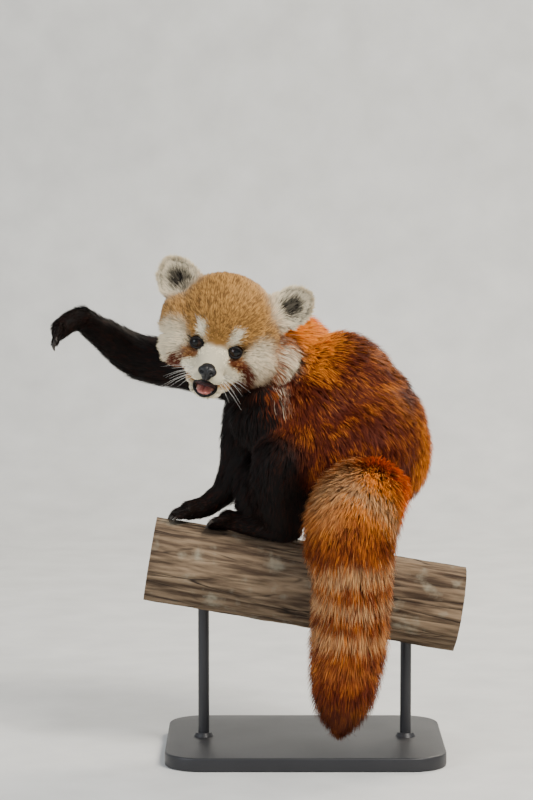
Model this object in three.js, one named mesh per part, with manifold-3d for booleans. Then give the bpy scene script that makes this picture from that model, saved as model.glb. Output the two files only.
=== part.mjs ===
// A red panda at life size, crouched on a cut length of branch that a display stand holds up.
// It looks back over its left shoulder, reaches out with its right foreleg, and its tail hangs in front of the branch.
// Units are millimetres, +Z is up, and the viewer stands at -Y with +X to the right.
// The origin is the centre of the base's underside.
import * as THREE from "three";
import { mergeVertices } from "three/addons/utils/BufferGeometryUtils.js";
import Module from "manifold-3d";

const wasm = await Module();
wasm.setup();

// Driving dimensions
const GAP = 0.3; // clearance that neighbouring pieces keep
const BASE = { length: 300, depth: 230, height: 15, corner: 40, bevel: 2 };
const TAIL_CLEARANCE = 12; // from the base's top to the lowest hair of the tail
const BRANCH = { radius: 46, length: 340, slope: 0.164, axisHeight: 183 };
const ROD = { radius: 6, sideways: 110, sink: 8 };
const EYE_RADIUS = 8;
const COAT = { back: 9, haunch: 8, tail: 11, cheek: 6 }; // from the core's surface to the plain outline

// Materials
const rust = new THREE.MeshStandardMaterial({ color: 0x9a3f16, roughness: 0.9 });
const tan = new THREE.MeshStandardMaterial({ color: 0xb98a55, roughness: 0.9 });
const cream = new THREE.MeshStandardMaterial({ color: 0xe9dfc8, roughness: 0.9 });
const black = new THREE.MeshStandardMaterial({ color: 0x14100e, roughness: 0.85 });
const eyeGloss = new THREE.MeshStandardMaterial({ color: 0x120a06, roughness: 0.08 });
const noseLeather = new THREE.MeshStandardMaterial({ color: 0x0c0c0e, roughness: 0.45 });
const mouthFlesh = new THREE.MeshStandardMaterial({ color: 0xb5605a, roughness: 0.4 });
const bark = new THREE.MeshStandardMaterial({ color: 0x6a5440, roughness: 0.95 });
const standPaint = new THREE.MeshStandardMaterial({ color: 0x2b2b2d, roughness: 0.5, metalness: 0.6 });

const vector = (p) => new THREE.Vector3(...p);
const mirrored = ([x, y, z], side) => [side * x, y, z];

// Smooth fields: each function gives about the distance from a point to a rounded form, negative inside it.

// An ellipsoid with the given half sizes, turned by Euler angles in degrees.
function ball(centre, half, turn = [0, 0, 0]) {
  const back = new THREE.Quaternion()
    .setFromEuler(new THREE.Euler(...turn.map(THREE.MathUtils.degToRad)))
    .invert();
  const middle = vector(centre);
  const local = new THREE.Vector3();
  return (p) => {
    local.subVectors(p, middle).applyQuaternion(back);
    const near = Math.hypot(local.x / half[0], local.y / half[1], local.z / half[2]);
    const steep = Math.hypot(local.x / half[0] ** 2, local.y / half[1] ** 2, local.z / half[2] ** 2);
    return steep > 0 ? (near * (near - 1)) / steep : -Math.min(...half);
  };
}

// A capsule that tapers from one end radius to the other.
function taper(from, to, fromRadius, toRadius) {
  const start = vector(from);
  const axis = vector(to).sub(start);
  const local = new THREE.Vector3();
  return (p) => {
    local.subVectors(p, start);
    const t = THREE.MathUtils.clamp(local.dot(axis) / axis.lengthSq(), 0, 1);
    return local.addScaledVector(axis, -t).length() - THREE.MathUtils.lerp(fromRadius, toRadius, t);
  };
}

// One form made of several, flowing into each other over the distance soft.
function blend(soft, ...fields) {
  return (p) =>
    fields
      .map((field) => field(p))
      .reduce((a, b) => {
        const h = Math.max(soft - Math.abs(a - b), 0) / soft;
        return Math.min(a, b) - (h * h * soft) / 4;
      });
}

// Closed geometry

// The point where a ray from the centre leaves the field grown by the amount grow, found from outside.
function surfacePoint(field, centre, direction, grow = 0, reach = 220) {
  const point = new THREE.Vector3();
  const value = (r) => field(point.copy(centre).addScaledVector(direction, r)) - grow;
  let outer = reach;
  while (outer > 2 && value(outer - 2) > 0) outer -= 2;
  let inner = outer - 2;
  for (let i = 0; i < 18; i++) {
    const middle = (inner + outer) / 2;
    if (value(middle) > 0) outer = middle;
    else inner = middle;
  }
  return new THREE.Vector3().copy(centre).addScaledVector(direction, outer);
}

// A geodesic ball pulled onto a field's surface, for forms that one centre can see all of.
function wrap(field, centre, detail, grow = 0) {
  const geometry = new THREE.IcosahedronGeometry(1, detail);
  geometry.deleteAttribute("normal");
  geometry.deleteAttribute("uv");
  const skin = mergeVertices(geometry, 1e-4);
  const position = skin.getAttribute("position");
  const middle = vector(centre);
  const direction = new THREE.Vector3();
  for (let i = 0; i < position.count; i++) {
    direction.fromBufferAttribute(position, i).normalize();
    const p = surfacePoint(field, middle, direction, grow);
    position.setXYZ(i, p.x, p.y, p.z);
  }
  return skin;
}

// Joins rings of points, all with the same count, into a closed surface with a point at either end.
function closedRings(rings, first, last) {
  const sides = rings[0].length;
  const points = [first, ...rings.flat(), last];
  const faces = [];
  for (let k = 0; k < sides; k++) {
    const next = (k + 1) % sides;
    faces.push(0, 1 + next, 1 + k);
    for (let ring = 0; ring < rings.length - 1; ring++) {
      const a = 1 + ring * sides;
      const b = a + sides;
      faces.push(a + k, a + next, b + k, a + next, b + next, b + k);
    }
    const end = 1 + (rings.length - 1) * sides;
    faces.push(end + k, end + next, points.length - 1);
  }
  return new THREE.BufferGeometry().setFromPoints(points).setIndex(faces);
}

// A tube with round ends through stations [x, y, z, half width, half thickness].
// Its width lies across the direction face, and its thickness along it. Caps are the angles of the end rings.
function sweep(stations, { sides = 9, steps = 3, caps = [45], face = [0, 0, 1], grow = 0 } = {}) {
  const curve = new THREE.CatmullRomCurve3(stations.map((s) => vector(s)));
  const sizes = new THREE.CatmullRomCurve3(stations.map((s) => new THREE.Vector3(s[3], s[4] ?? s[3], 0)));
  const rings = [];
  const ring = (centre, tangent, wide, thick) => {
    const across = new THREE.Vector3().crossVectors(tangent, vector(face)).normalize();
    const out = new THREE.Vector3().crossVectors(across, tangent).normalize();
    rings.push(
      Array.from({ length: sides }, (_, k) => {
        const angle = (2 * Math.PI * k) / sides;
        return centre
          .clone()
          .addScaledVector(across, (wide + grow) * Math.cos(angle))
          .addScaledVector(out, (thick + grow) * Math.sin(angle));
      }),
    );
  };
  const capped = (t, sign) => {
    const centre = curve.getPoint(t);
    const tangent = curve.getTangent(t);
    const { x: wide, y: thick } = sizes.getPoint(t);
    const bulge = Math.min(wide, thick);
    const angles = sign < 0 ? caps.toReversed() : caps;
    for (const angle of angles) {
      const a = THREE.MathUtils.degToRad(angle);
      const shift = sign * (bulge + grow) * Math.sin(a);
      const scale = Math.cos(a);
      ring(
        centre.clone().addScaledVector(tangent, shift),
        tangent,
        (wide + grow) * scale - grow,
        (thick + grow) * scale - grow,
      );
    }
    return centre.clone().addScaledVector(tangent, sign * (bulge + grow));
  };
  const first = capped(0, -1);
  for (let i = 0; i <= steps; i++) {
    const t = i / steps;
    const { x: wide, y: thick } = sizes.getPoint(t);
    ring(curve.getPoint(t), curve.getTangent(t), wide, thick);
  }
  const last = capped(1, 1);
  return closedRings(rings, first, last);
}

// Locks of hair

let seed = 20;
function random(from, to) {
  seed = (seed * 16807) % 2147483647;
  return from + ((to - from) * seed) / 2147483647;
}

// A flat tapered lock. Path gives the point it passes at each share of its length, and the way out from there.
function lock(path, width, thick, grow) {
  const room = 2 * grow; // thin edges and points need more than flat sides do
  const rings = [
    [0.05, 0.75],
    [0.5, 1],
  ].map(([t, share]) => {
    const { point, out } = path(t);
    const way = path(t + 0.04).point.sub(path(t - 0.04).point);
    const across = way.cross(out).normalize();
    const wide = (share * width) / 2 + room;
    const high = (share * thick) / 2 + room;
    return [
      point.clone().addScaledVector(across, wide),
      point.clone().addScaledVector(out, high),
      point.clone().addScaledVector(across, -wide),
      point.clone().addScaledVector(out, -high),
    ];
  });
  const past = (end, before) => {
    const to = path(end).point;
    const way = to.clone().sub(path(before).point).normalize();
    return to.addScaledVector(way, room);
  };
  return closedRings(rings, past(0, 0.05), past(1, 0.5));
}

// How far the middle of a lock lies from the core: its root is sunk, and its tip stands at the rise.
const lockHeight = (t, rise, sink = 5) => -sink + (rise + sink) * t ** 0.75;

// A lock that lies on a form wrapped round a centre, from a direction on it and along a heading.
function lockOn(field, centre, direction, heading, { length, width, thick, rise, grow }) {
  const middle = vector(centre);
  const root = surfacePoint(field, middle, direction);
  const way = heading.clone().addScaledVector(direction, -heading.dot(direction)).normalize();
  const path = (t) => {
    const out = root.clone().addScaledVector(way, t * length).sub(middle).normalize();
    return { point: surfacePoint(field, middle, out, lockHeight(t, rise)), out };
  };
  return lock(path, width, thick, grow);
}

// Locks spread evenly over a wrapped form, wherever its surface point passes the test shows.
function coatOf(field, centre, { count, heading, shows, length, width, thick, depth, fan = 0.3 }) {
  const core = (p) => field(p) + depth;
  return Array.from({ length: count }, (_, i) => {
    const z = 1 - (2 * (i + 0.5)) / count;
    const turn = i * 2.39996;
    const direction = new THREE.Vector3(
      Math.sqrt(1 - z * z) * Math.cos(turn),
      Math.sqrt(1 - z * z) * Math.sin(turn),
      z,
    );
    const shape = { length: length * random(0.85, 1.15), width: width * random(0.85, 1.15), thick, rise: depth + random(0, 4) };
    const way = vector(heading).add(new THREE.Vector3(random(-fan, fan), random(-fan, fan), random(-fan, fan)));
    return shows(surfacePoint(field, vector(centre), direction))
      ? (grow) => lockOn(core, centre, direction, way, { ...shape, grow })
      : null;
  }).filter(Boolean);
}

// Solids

function solidOf(geometry) {
  const merged = mergeVertices(geometry, 1e-3);
  const solid = new wasm.Manifold(
    new wasm.Mesh({
      numProp: 3,
      vertProperties: merged.attributes.position.array,
      triVerts: new Uint32Array(merged.index.array),
    }),
  );
  if (solid.volume() > 0) return solid;
  const flipped = new Uint32Array(merged.index.array);
  for (let i = 0; i < flipped.length; i += 3) [flipped[i], flipped[i + 1]] = [flipped[i + 1], flipped[i]];
  return new wasm.Manifold(
    new wasm.Mesh({ numProp: 3, vertProperties: merged.attributes.position.array, triVerts: flipped }),
  );
}

const union = (solids) => solids.reduce((a, b) => a.add(b));

// The largest closed surface of a solid, without loose scraps or sealed hollows.
const largest = (solid) =>
  solid.decompose().reduce((best, piece) => (piece.volume() > best.volume() ? piece : best));

const model = new THREE.Group();
const made = []; // what stands already: {name, tool}, where tool is the solid grown by GAP

const apart = (a, b) =>
  ["0", "1", "2"].some((i) => a.max[i] < b.min[i] || b.max[i] < a.min[i]);

// Adds a node. Each piece is a function of the growth, hollows are cut from the pieces, and rims stay whole.
// Everything that stands already is cut clear of it by GAP.
function addNode(name, material, pieces, hollows = [], rims = []) {
  let solid = union(pieces.map((piece) => solidOf(piece(0))));
  const tool = union([...pieces, ...rims].map((piece) => solidOf(piece(GAP))));
  for (const hollow of hollows) solid = solid.subtract(solidOf(hollow));
  for (const rim of rims) solid = solid.add(solidOf(rim(0)));
  for (const other of made) {
    if (!apart(solid.boundingBox(), other.tool.boundingBox())) solid = solid.subtract(other.tool);
  }
  solid = largest(solid);
  made.push({ name, tool });
  const { vertProperties, triVerts, numProp, numVert } = solid.getMesh();
  const position = new Float32Array(numVert * 3);
  for (let i = 0; i < numVert; i++) {
    position.set(vertProperties.subarray(i * numProp, i * numProp + 3), i * 3);
  }
  const geometry = new THREE.BufferGeometry()
    .setAttribute("position", new THREE.BufferAttribute(position, 3))
    .setIndex(new THREE.BufferAttribute(triVerts, 1));
  const mesh = new THREE.Mesh(geometry, material);
  mesh.name = name;
  model.add(mesh);
}

// Stand and branch

const branchTop = (x) => BRANCH.axisHeight - BRANCH.slope * x + BRANCH.radius * Math.hypot(1, BRANCH.slope);

function branchBody(grow) {
  const half = BRANCH.length / 2;
  const knots = [
    [-0.62, 0.9, 0.5],
    [0.1, 2.6, 0.35],
    [0.7, -0.6, 0.4],
  ]; // along the half length, angle about the axis, height as a share of the swell
  const profileSides = 20;
  const rings = 8;
  const swell = 3.5;
  const rows = [];
  for (let i = 0; i <= rings; i++) {
    const along = (2 * i) / rings - 1;
    const x = along * half;
    rows.push(
      Array.from({ length: profileSides }, (_, k) => {
        const angle = (2 * Math.PI * k) / profileSides;
        const ridge = Math.sin(7 * angle + 2 * along) + Math.sin(11 * angle - 3 * along);
        const upward = Math.max(0, Math.sin(angle)); // the top stays plain, where the feet stand
        const bumps = knots.reduce((sum, [at, around, height]) => {
          const turn = Math.atan2(Math.sin(angle - around + Math.PI), Math.cos(angle - around + Math.PI));
          return sum + height * Math.exp(-(((along - at) * half) ** 2) / 300 - (turn * 46) ** 2 / 400);
        }, 0);
        const radius = BRANCH.radius + grow + (1 - upward) * (0.6 * ridge + swell * bumps * 3);
        return new THREE.Vector3(x, Math.cos(angle) * radius, Math.sin(angle) * radius);
      }),
    );
  }
  const end = half + grow;
  const body = closedRings(rows, new THREE.Vector3(-end, 0, 0), new THREE.Vector3(end, 0, 0));
  return body
    .applyMatrix4(new THREE.Matrix4().makeRotationY(Math.atan(BRANCH.slope)))
    .translate(0, 0, BRANCH.axisHeight);
}

function roundedPlate(grow) {
  const { length, depth, height, corner, bevel } = BASE;
  const x = length / 2 - bevel;
  const y = depth / 2 - bevel;
  const outline = new THREE.Shape();
  outline.moveTo(-x + corner, -y);
  outline.lineTo(x - corner, -y);
  outline.absarc(x - corner, -y + corner, corner, -Math.PI / 2, 0);
  outline.lineTo(x, y - corner);
  outline.absarc(x - corner, y - corner, corner, 0, Math.PI / 2);
  outline.lineTo(-x + corner, y);
  outline.absarc(-x + corner, y - corner, corner, Math.PI / 2, Math.PI);
  outline.lineTo(-x, -y + corner);
  outline.absarc(-x + corner, -y + corner, corner, Math.PI, 1.5 * Math.PI);
  const plate = new THREE.ExtrudeGeometry(outline, {
    depth: height - 2 * bevel + 2 * grow,
    bevelThickness: bevel,
    bevelSize: bevel,
    bevelSegments: 1,
    curveSegments: 4,
  });
  plate.deleteAttribute("normal");
  plate.deleteAttribute("uv");
  return plate.translate(0, 0, bevel - grow);
}

function rod(side, grow) {
  const x = side * ROD.sideways;
  const top = branchTop(x) - 2 * BRANCH.radius + ROD.sink;
  const height = top - BASE.height + grow;
  const post = new THREE.CylinderGeometry(ROD.radius + grow, ROD.radius + grow, height, 16);
  post.deleteAttribute("normal");
  post.deleteAttribute("uv");
  return post.rotateX(Math.PI / 2).translate(x, 0, BASE.height + height / 2);
}

addNode("stand_base", standPaint, [roundedPlate]);
for (const [word, side] of [
  ["left", -1],
  ["right", 1],
]) {
  addNode(`stand_rod_${word}`, standPaint, [(grow) => rod(side, grow)]);
}
addNode("perch_branch", bark, [branchBody]);

// Torso and neck

const torsoField = blend(
  30,
  ball([-20, 42, 414], [64, 64, 68]),
  ball([30, 18, 386], [78, 74, 77]),
  ball([60, -3, 346], [69, 66, 76]),
);
const TORSO_CENTRE = [15, 16, 375];
const neckField = ball([-54, -6, 424], [58, 52, 50], [0, 30, 30]);
const haunchFields = {
  thigh_left: ball([18, -40, 340], [66, 42, 50], [0, 12, -6]),
  thigh_right: ball([90, 20, 330], [52, 48, 68], [0, -6, 20]),
};
const upperArmField = taper([-62, 50, 408], [-172, 60, 423], 42, 32);
const onBack = (p) =>
  p.z > 318 &&
  neckField(p) > 6 &&
  upperArmField(p) > 0 &&
  Object.values(haunchFields).every((field) => field(p) > 2);
addNode("torso", rust, [
  (grow) => wrap(torsoField, TORSO_CENTRE, 4, grow - COAT.back),
  ...coatOf(torsoField, TORSO_CENTRE, {
    count: 38,
    heading: [0.7, -0.15, -0.65],
    shows: onBack,
    length: 68,
    width: 46,
    thick: 11,
    depth: COAT.back,
  }),
]);
addNode("neck", cream, [(grow) => wrap(neckField, [-54, -6, 424], 3, grow)]);

// Head, in its own frame: the origin is midway between the eyes, the face looks along -Y, and +Z is the crown.

const headPlace = new THREE.Matrix4()
  .makeTranslation(-95, -60, 444)
  .multiply(new THREE.Matrix4().makeRotationY(THREE.MathUtils.degToRad(14.5)))
  .multiply(new THREE.Matrix4().makeRotationZ(THREE.MathUtils.degToRad(-4)))
  .multiply(new THREE.Matrix4().makeRotationX(THREE.MathUtils.degToRad(8)));
const onHead = (geometry) => geometry.applyMatrix4(headPlace);
const SIDES = [
  ["left", 1],
  ["right", -1],
]; // the animal's left is at +X in its head's frame

const EYE = [21, 0, 0];
const NOSE = [0, -39, -19];
const MOUTH = { centre: [0, -22, -39], half: [12.5, 24, 8.5] };

const cheek = (side) =>
  ball(mirrored([36, 25, -9], side), [32 - COAT.cheek, 32 - COAT.cheek, 34 - COAT.cheek]);
const headField = blend(
  10,
  ball([0, 38, 26], [56, 50, 49]),
  ball([0, 16, 12], [38, 24, 24]),
  cheek(1),
  cheek(-1),
  ball([0, 15, -22], [38, 27, 24]),
  taper([0, 10, -15], [0, -24, -20], 24, 15),
  ball([9, -24, -27], [12, 14, 9]),
  ball([-9, -24, -27], [12, 14, 9]),
);
const headShell = (grow) => onHead(wrap(headField, [0, 12, 0], 5, grow));

// The ruff of a cheek: locks that fan out to the side and down.
function ruff(side) {
  return [
    [0.05, 14],
    [0.05, -14],
    [0.05, -42],
    [-0.35, 0],
    [-0.35, -30],
    [-0.35, -62],
    [0.45, -34],
  ].map(([back, tilt]) => {
    const angle = THREE.MathUtils.degToRad(tilt);
    const direction = new THREE.Vector3(side * Math.cos(angle), back, Math.sin(angle)).normalize();
    const heading = new THREE.Vector3(side * 0.7, 0.35, -0.75);
    const shape = { length: random(26, 32), width: random(17, 21), thick: 8, rise: COAT.cheek + random(0, 4) };
    return (grow) => onHead(lockOn(headField, [0, 12, 0], direction, heading, { ...shape, grow }));
  });
}

function eyeball(side, grow) {
  const sphere = new THREE.IcosahedronGeometry(EYE_RADIUS + grow, 2);
  sphere.deleteAttribute("normal");
  sphere.deleteAttribute("uv");
  return onHead(sphere.translate(...mirrored(EYE, side)));
}

// The hollow that an eye sits in, open to the front.
function socket(side) {
  const centre = mirrored([EYE[0], EYE[1] - EYE_RADIUS, EYE[2]], side);
  return onHead(wrap(ball(centre, [7.4, 11, 5.8]), centre, 1));
}

// A ring of lid round the eye, almond-shaped and lying on the eyeball.
function lid(side, upper, grow) {
  const turn = upper ? 1 : -1;
  const steps = 4;
  const stations = Array.from({ length: steps + 1 }, (_, i) => {
    const angle = (Math.PI * i) / steps;
    const x = 7.4 * Math.cos(angle);
    const z = turn * 5.6 * Math.sin(angle);
    const y = -Math.sqrt((EYE_RADIUS + 0.6) ** 2 - x * x - z * z);
    const ends = 0.7 + 0.7 * Math.sin(angle);
    return [side * (EYE[0] + x), EYE[1] + y, EYE[2] + z, ends, ends];
  });
  return onHead(sweep(stations, { sides: 4, steps: 4, face: [0, -1, 0.2], grow }));
}

const noseField = blend(
  3,
  ball(NOSE, [10.2, 6.5, 7]),
  ball([0, -37, -23.5], [6, 6, 6]),
);
const nostril = (side) =>
  onHead(wrap(ball(mirrored([5.2, -45.5, -20], side), [2.2, 4, 1.6], [0, 0, side * 30]), mirrored([5.2, -45.5, -20], side), 1));

const mouthHollow = () => onHead(wrap(ball(MOUTH.centre, MOUTH.half), MOUTH.centre, 2));
const jawField = blend(6, ball([0, -6, -45], [20, 24, 11]), ball([0, 8, -40], [26, 18, 12]));

// A lip round the open mouth, from one corner to the other.
function lip(upper, grow) {
  const turn = upper ? 1 : -1;
  const steps = 8;
  const stations = Array.from({ length: steps + 1 }, (_, i) => {
    const angle = (Math.PI * i) / steps;
    const x = (MOUTH.half[0] + 0.6) * Math.cos(angle);
    const z = MOUTH.centre[2] + turn * (MOUTH.half[2] + 0.8) * Math.sin(angle);
    const y = -30 - (upper ? 8 : 0) * Math.sin(angle) + 10 * Math.abs(Math.cos(angle));
    return [x, y, z, 1.5, 1.5];
  });
  return onHead(sweep(stations, { sides: 4, steps: 6, face: [0, -1, 0.1], grow }));
}

function tooth([x, y, z], radius, length, grow) {
  const turn = length > 0 ? 1 : -1;
  const cone = new THREE.ConeGeometry(radius + grow, Math.abs(length) + 3 + grow, 4);
  cone.deleteAttribute("normal");
  cone.deleteAttribute("uv");
  return onHead(cone.rotateX((turn * Math.PI) / 2).translate(x, y, z + length / 2 - turn * 1.5));
}

for (const [word, side] of SIDES) {
  addNode(`eye_${word}`, eyeGloss, [(grow) => eyeball(side, grow)]);
}
addNode("nose", noseLeather, [(grow) => onHead(wrap(noseField, NOSE, 2, grow))], [nostril(1), nostril(-1)]);
addNode("tongue", mouthFlesh, [
  (grow) => onHead(wrap(ball([0, -16, -44.5], [8.5, 17, 3.4], [8, 0, 0]), [0, -16, -44.5], 1, grow)),
]);

const lowerTeeth = [-6.4, -3.2, 0, 3.2, 6.4].map((x) => ({
  at: [x, -29.5 + 0.08 * x * x, -45.5],
  size: Math.abs(x) > 6 ? 2 : 1.3,
  length: Math.abs(x) > 6 ? 6 : 2.6,
}));
const upperTeeth = [-7.6, 7.6].map((x) => ({ at: [x, -29, -33], size: 2, length: -7 }));
addNode(
  "jaw",
  cream,
  [
    (grow) => onHead(wrap(jawField, [0, -2, -44], 2, grow)),
    (grow) => lip(false, grow),
    ...lowerTeeth.map((t) => (grow) => tooth(t.at, t.size, t.length, grow)),
  ],
);

addNode(
  "head",
  tan,
  [
    headShell,
    ...ruff(1),
    ...ruff(-1),
    (grow) => lip(true, grow),
    ...upperTeeth.map((t) => (grow) => tooth(t.at, t.size, t.length, grow)),
  ],
  [mouthHollow(), socket(1), socket(-1)],
  SIDES.flatMap(([, side]) => [(grow) => lid(side, true, grow), (grow) => lid(side, false, grow)]),
);

// An ear: a cup that leans outward and opens forward.
const EAR = { centre: [65, 34, 59], half: [24, 10, 33], lean: 46, open: 18 };
const earTurn = (side) => [8, side * EAR.lean, -side * EAR.open];

// Locks that stand out past an ear's lower rim.
function fringe(side) {
  const turned = new THREE.Quaternion().setFromEuler(
    new THREE.Euler(...earTurn(side).map(THREE.MathUtils.degToRad)),
  );
  return [-158, -128, -22].map((degrees) => {
    const angle = THREE.MathUtils.degToRad(degrees);
    const rim = new THREE.Vector3(EAR.half[0] * Math.cos(angle), -2, EAR.half[2] * Math.sin(angle) * 0.8);
    const way = new THREE.Vector3(Math.cos(angle), 0, Math.sin(angle)).applyQuaternion(turned);
    const out = new THREE.Vector3(0, -1, 0).applyQuaternion(turned);
    const root = vector(mirrored(EAR.centre, side)).add(rim.applyQuaternion(turned));
    const length = random(17, 22);
    const path = (t) => ({ point: root.clone().addScaledVector(way, t * length - 7), out });
    return (grow) => onHead(lock(path, 12, 5, grow));
  });
}

for (const [word, side] of SIDES) {
  const centre = mirrored(EAR.centre, side);
  const turn = earTurn(side);
  const cup = mirrored([EAR.centre[0] + 2, EAR.centre[1] - 10, EAR.centre[2] + 1], side);
  addNode(
    `ear_${word}`,
    cream,
    [(grow) => onHead(wrap(ball(centre, EAR.half, turn), centre, 3, grow)), ...fringe(side)],
    [onHead(wrap(ball(cup, [17, 10, 24], turn), cup, 2))],
  );
}

// Legs

const HAUNCHES = {
  thigh_left: { centre: [18, -40, 340], heading: [0.35, -0.1, -0.9] },
  thigh_right: { centre: [90, 20, 330], heading: [0.1, -0.25, -0.95] },
};
for (const [name, { centre, heading }] of Object.entries(HAUNCHES)) {
  const field = haunchFields[name];
  const coat = coatOf(field, centre, {
    count: 20,
    heading,
    shows: (p) => torsoField(p) > 3 && p.z > 300,
    length: 50,
    width: 38,
    thick: 10,
    depth: COAT.haunch,
  });
  addNode(name, rust, [(grow) => wrap(field, centre, 3, grow - COAT.haunch), ...coat]);
}

// Legs, as tapering lengths from the shoulder or hip down.
const LEGS = {
  forearm_left: [
    [-66, 9, 352, 26],
    [-73, 8, 318, 22],
    [-85, 6, 288, 17.5],
  ],
  forearm_right: [
    [-176, 60, 424, 30],
    [-212, 40, 447, 24],
    [-238, 13, 469, 17],
  ],
  shank_left: [
    [-24, -46, 326, 34, 30],
    [-30, -38, 290, 30, 25],
    [-22, -26, 252, 24, 19],
  ],
  shank_right: [
    [88, 44, 320, 32, 28],
    [84, 26, 280, 26, 23],
    [74, 0, 246, 20, 18],
  ],
  upper_arm_left: [
    [-44, 14, 402, 38],
    [-56, 10, 376, 32],
    [-65, 9, 354, 27],
  ],
  upper_arm_right: [
    [-62, 50, 408, 40],
    [-118, 58, 416, 34],
    [-172, 60, 423, 31],
  ],
};
for (const [name, stations] of Object.entries(LEGS)) {
  addNode(name, black, [(grow) => sweep(stations, { face: [0, -1, 0.2], grow })]);
}

// Feet. Toes spread from the end of the foot, each with a claw.

function claw(from, to, radius) {
  const way = to.clone().sub(from);
  const cone = new THREE.ConeGeometry(radius, way.length(), 4);
  cone.deleteAttribute("normal");
  cone.deleteAttribute("uv");
  const upright = new THREE.Vector3(0, 1, 0);
  cone.applyQuaternion(new THREE.Quaternion().setFromUnitVectors(upright, way.clone().normalize()));
  return cone.translate(...from.clone().lerp(to, 0.5).toArray());
}

// Toes and claws of a foot. At is the knuckles' middle, ahead the way the toes point, down the way the sole faces.
function toes({ at, ahead, down, spread, length, radius, droop = 0.25 }) {
  const forward = vector(ahead).normalize();
  const under = vector(down).normalize();
  const across = new THREE.Vector3().crossVectors(forward, under).normalize();
  const count = 5;
  return Array.from({ length: count }, (_, i) => {
    const share = i / (count - 1) - 0.5;
    const reach = length * (1 - 1.1 * share * share);
    const root = vector(at).addScaledVector(across, share * spread);
    const way = forward.clone().addScaledVector(across, share * 0.5);
    const tip = root.clone().addScaledVector(way, reach).addScaledVector(under, reach * droop);
    const nail = tip.clone().addScaledVector(way, radius * 1.1).addScaledVector(under, radius * 0.9);
    const station = (p, size) => [p.x, p.y, p.z, size];
    return [
      (grow) =>
        sweep([station(root, radius), station(root.clone().lerp(tip, 0.5), radius * 1.04), station(tip, radius * 0.85)], {
          sides: 5,
          steps: 1,
          face: down,
          grow,
        }),
      (grow) => claw(tip, nail, radius * 0.42 + grow),
    ];
  }).flat();
}

// Each foot: stations of the foot itself, then its toes.
const FEET = {
  forefoot_left: {
    body: [
      [-88, 6, 284, 17, 16],
      [-106, 4, 271, 19, 14],
      [-124, 2, 267, 20, 11.5],
    ],
    toes: { at: [-126, 2, 267], ahead: [-1, -0.12, -0.05], down: [0, 0, -1], spread: 30, length: 14, radius: 6 },
  },
  forefoot_right: {
    body: [
      [-240, 10, 470, 16, 15],
      [-252, 0, 468, 18, 13],
      [-262, -8, 461, 19, 11.5],
    ],
    toes: { at: [-263, -9, 460], ahead: [-0.6, -0.35, -0.75], down: [0.75, -0.1, -0.6], spread: 28, length: 13, radius: 5.6 },
  },
  hindfoot_left: {
    body: [
      [-14, -24, 243, 17, 15],
      [-45, -21, 247, 18, 14],
      [-82, -17, 255, 19, 11.5],
    ],
    toes: { at: [-84, -17, 255], ahead: [-1, 0, 0.12], down: [0, -0.35, -1], spread: 30, length: 15, radius: 6 },
  },
  hindfoot_right: {
    body: [
      [72, -12, 234, 17, 14],
      [70, 14, 232, 18, 13],
      [66, 40, 216, 19, 11],
    ],
    toes: { at: [66, 41, 215], ahead: [-0.05, 0.6, -0.8], down: [0, -0.8, -0.6], spread: 30, length: 15, radius: 6 },
  },
};
for (const [name, foot] of Object.entries(FEET)) {
  addNode(name, black, [
    (grow) => sweep(foot.body, { face: foot.toes.down.map((v) => -v), grow }),
    ...toes(foot.toes),
  ]);
}

// Tail, from its root between the thighs, over the near side of the branch, and down.
const TAIL_TIP = 30; // radius of the tail at its end
const TAIL = [
  [84, -46, 300, 34],
  [66, -84, 288, 48],
  [50, -108, 256, 53],
  [48, -108, 216, 50],
  [47, -103, 172, 48],
  [44, -99, 126, 47],
  [40, -97, 84, 41],
  [37, -96, BASE.height + TAIL_CLEARANCE + TAIL_TIP, TAIL_TIP],
];
const tailCurve = new THREE.CatmullRomCurve3(TAIL.map((station) => vector(station)));
const tailRadius = (share) => {
  const at = THREE.MathUtils.clamp(share, 0, 1) * (TAIL.length - 1);
  const before = Math.min(Math.floor(at), TAIL.length - 2);
  return THREE.MathUtils.lerp(TAIL[before][3], TAIL[before + 1][3], at - before);
};

// A lock on the tail, from a share of its length and an angle round it.
function tailLock(share, angle, length, width, rise, grow) {
  const path = (t) => {
    const at = share + t * length;
    const tangent = tailCurve.getTangent(THREE.MathUtils.clamp(at, 0, 1));
    const across = new THREE.Vector3().crossVectors(tangent, new THREE.Vector3(-1, 0, 0.2)).normalize();
    const out = across.clone().cross(tangent).normalize().multiplyScalar(Math.sin(angle));
    out.addScaledVector(across, Math.cos(angle));
    const past = Math.max(0, at - 1) * tailCurve.getLength();
    const point = tailCurve
      .getPoint(Math.min(at, 1))
      .addScaledVector(tangent, past)
      .addScaledVector(out, Math.max(4, tailRadius(at) - 0.6 * past) - COAT.tail + lockHeight(t, rise));
    return { point, out };
  };
  return lock(path, width, 12, grow);
}

// A length of the tail between two stations: its core and rows of locks round it.
function tailPart(from, to, rows) {
  const last = TAIL.length - 1;
  const perRow = 6;
  const slim = TAIL.slice(from, to + 1).map(([x, y, z, radius]) => [x, y, z, radius - COAT.tail]);
  const core = (grow) => sweep(slim, { sides: 10, steps: 4, caps: [30, 60], face: [-1, 0, 0.2], grow });
  const locks = rows.flatMap((row, index) =>
    Array.from({ length: perRow }, (_, k) => {
      const angle = (2 * Math.PI * (k + (index % 2) / 2 + random(-0.12, 0.12))) / perRow;
      const share = (row + random(-0.1, 0.1)) / last;
      const shape = [random(1.4, 1.65) / last, random(40, 48), COAT.tail + random(-1, 3)];
      return (grow) => tailLock(share, angle, ...shape, grow);
    }),
  );
  return [core, ...locks];
}

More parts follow.
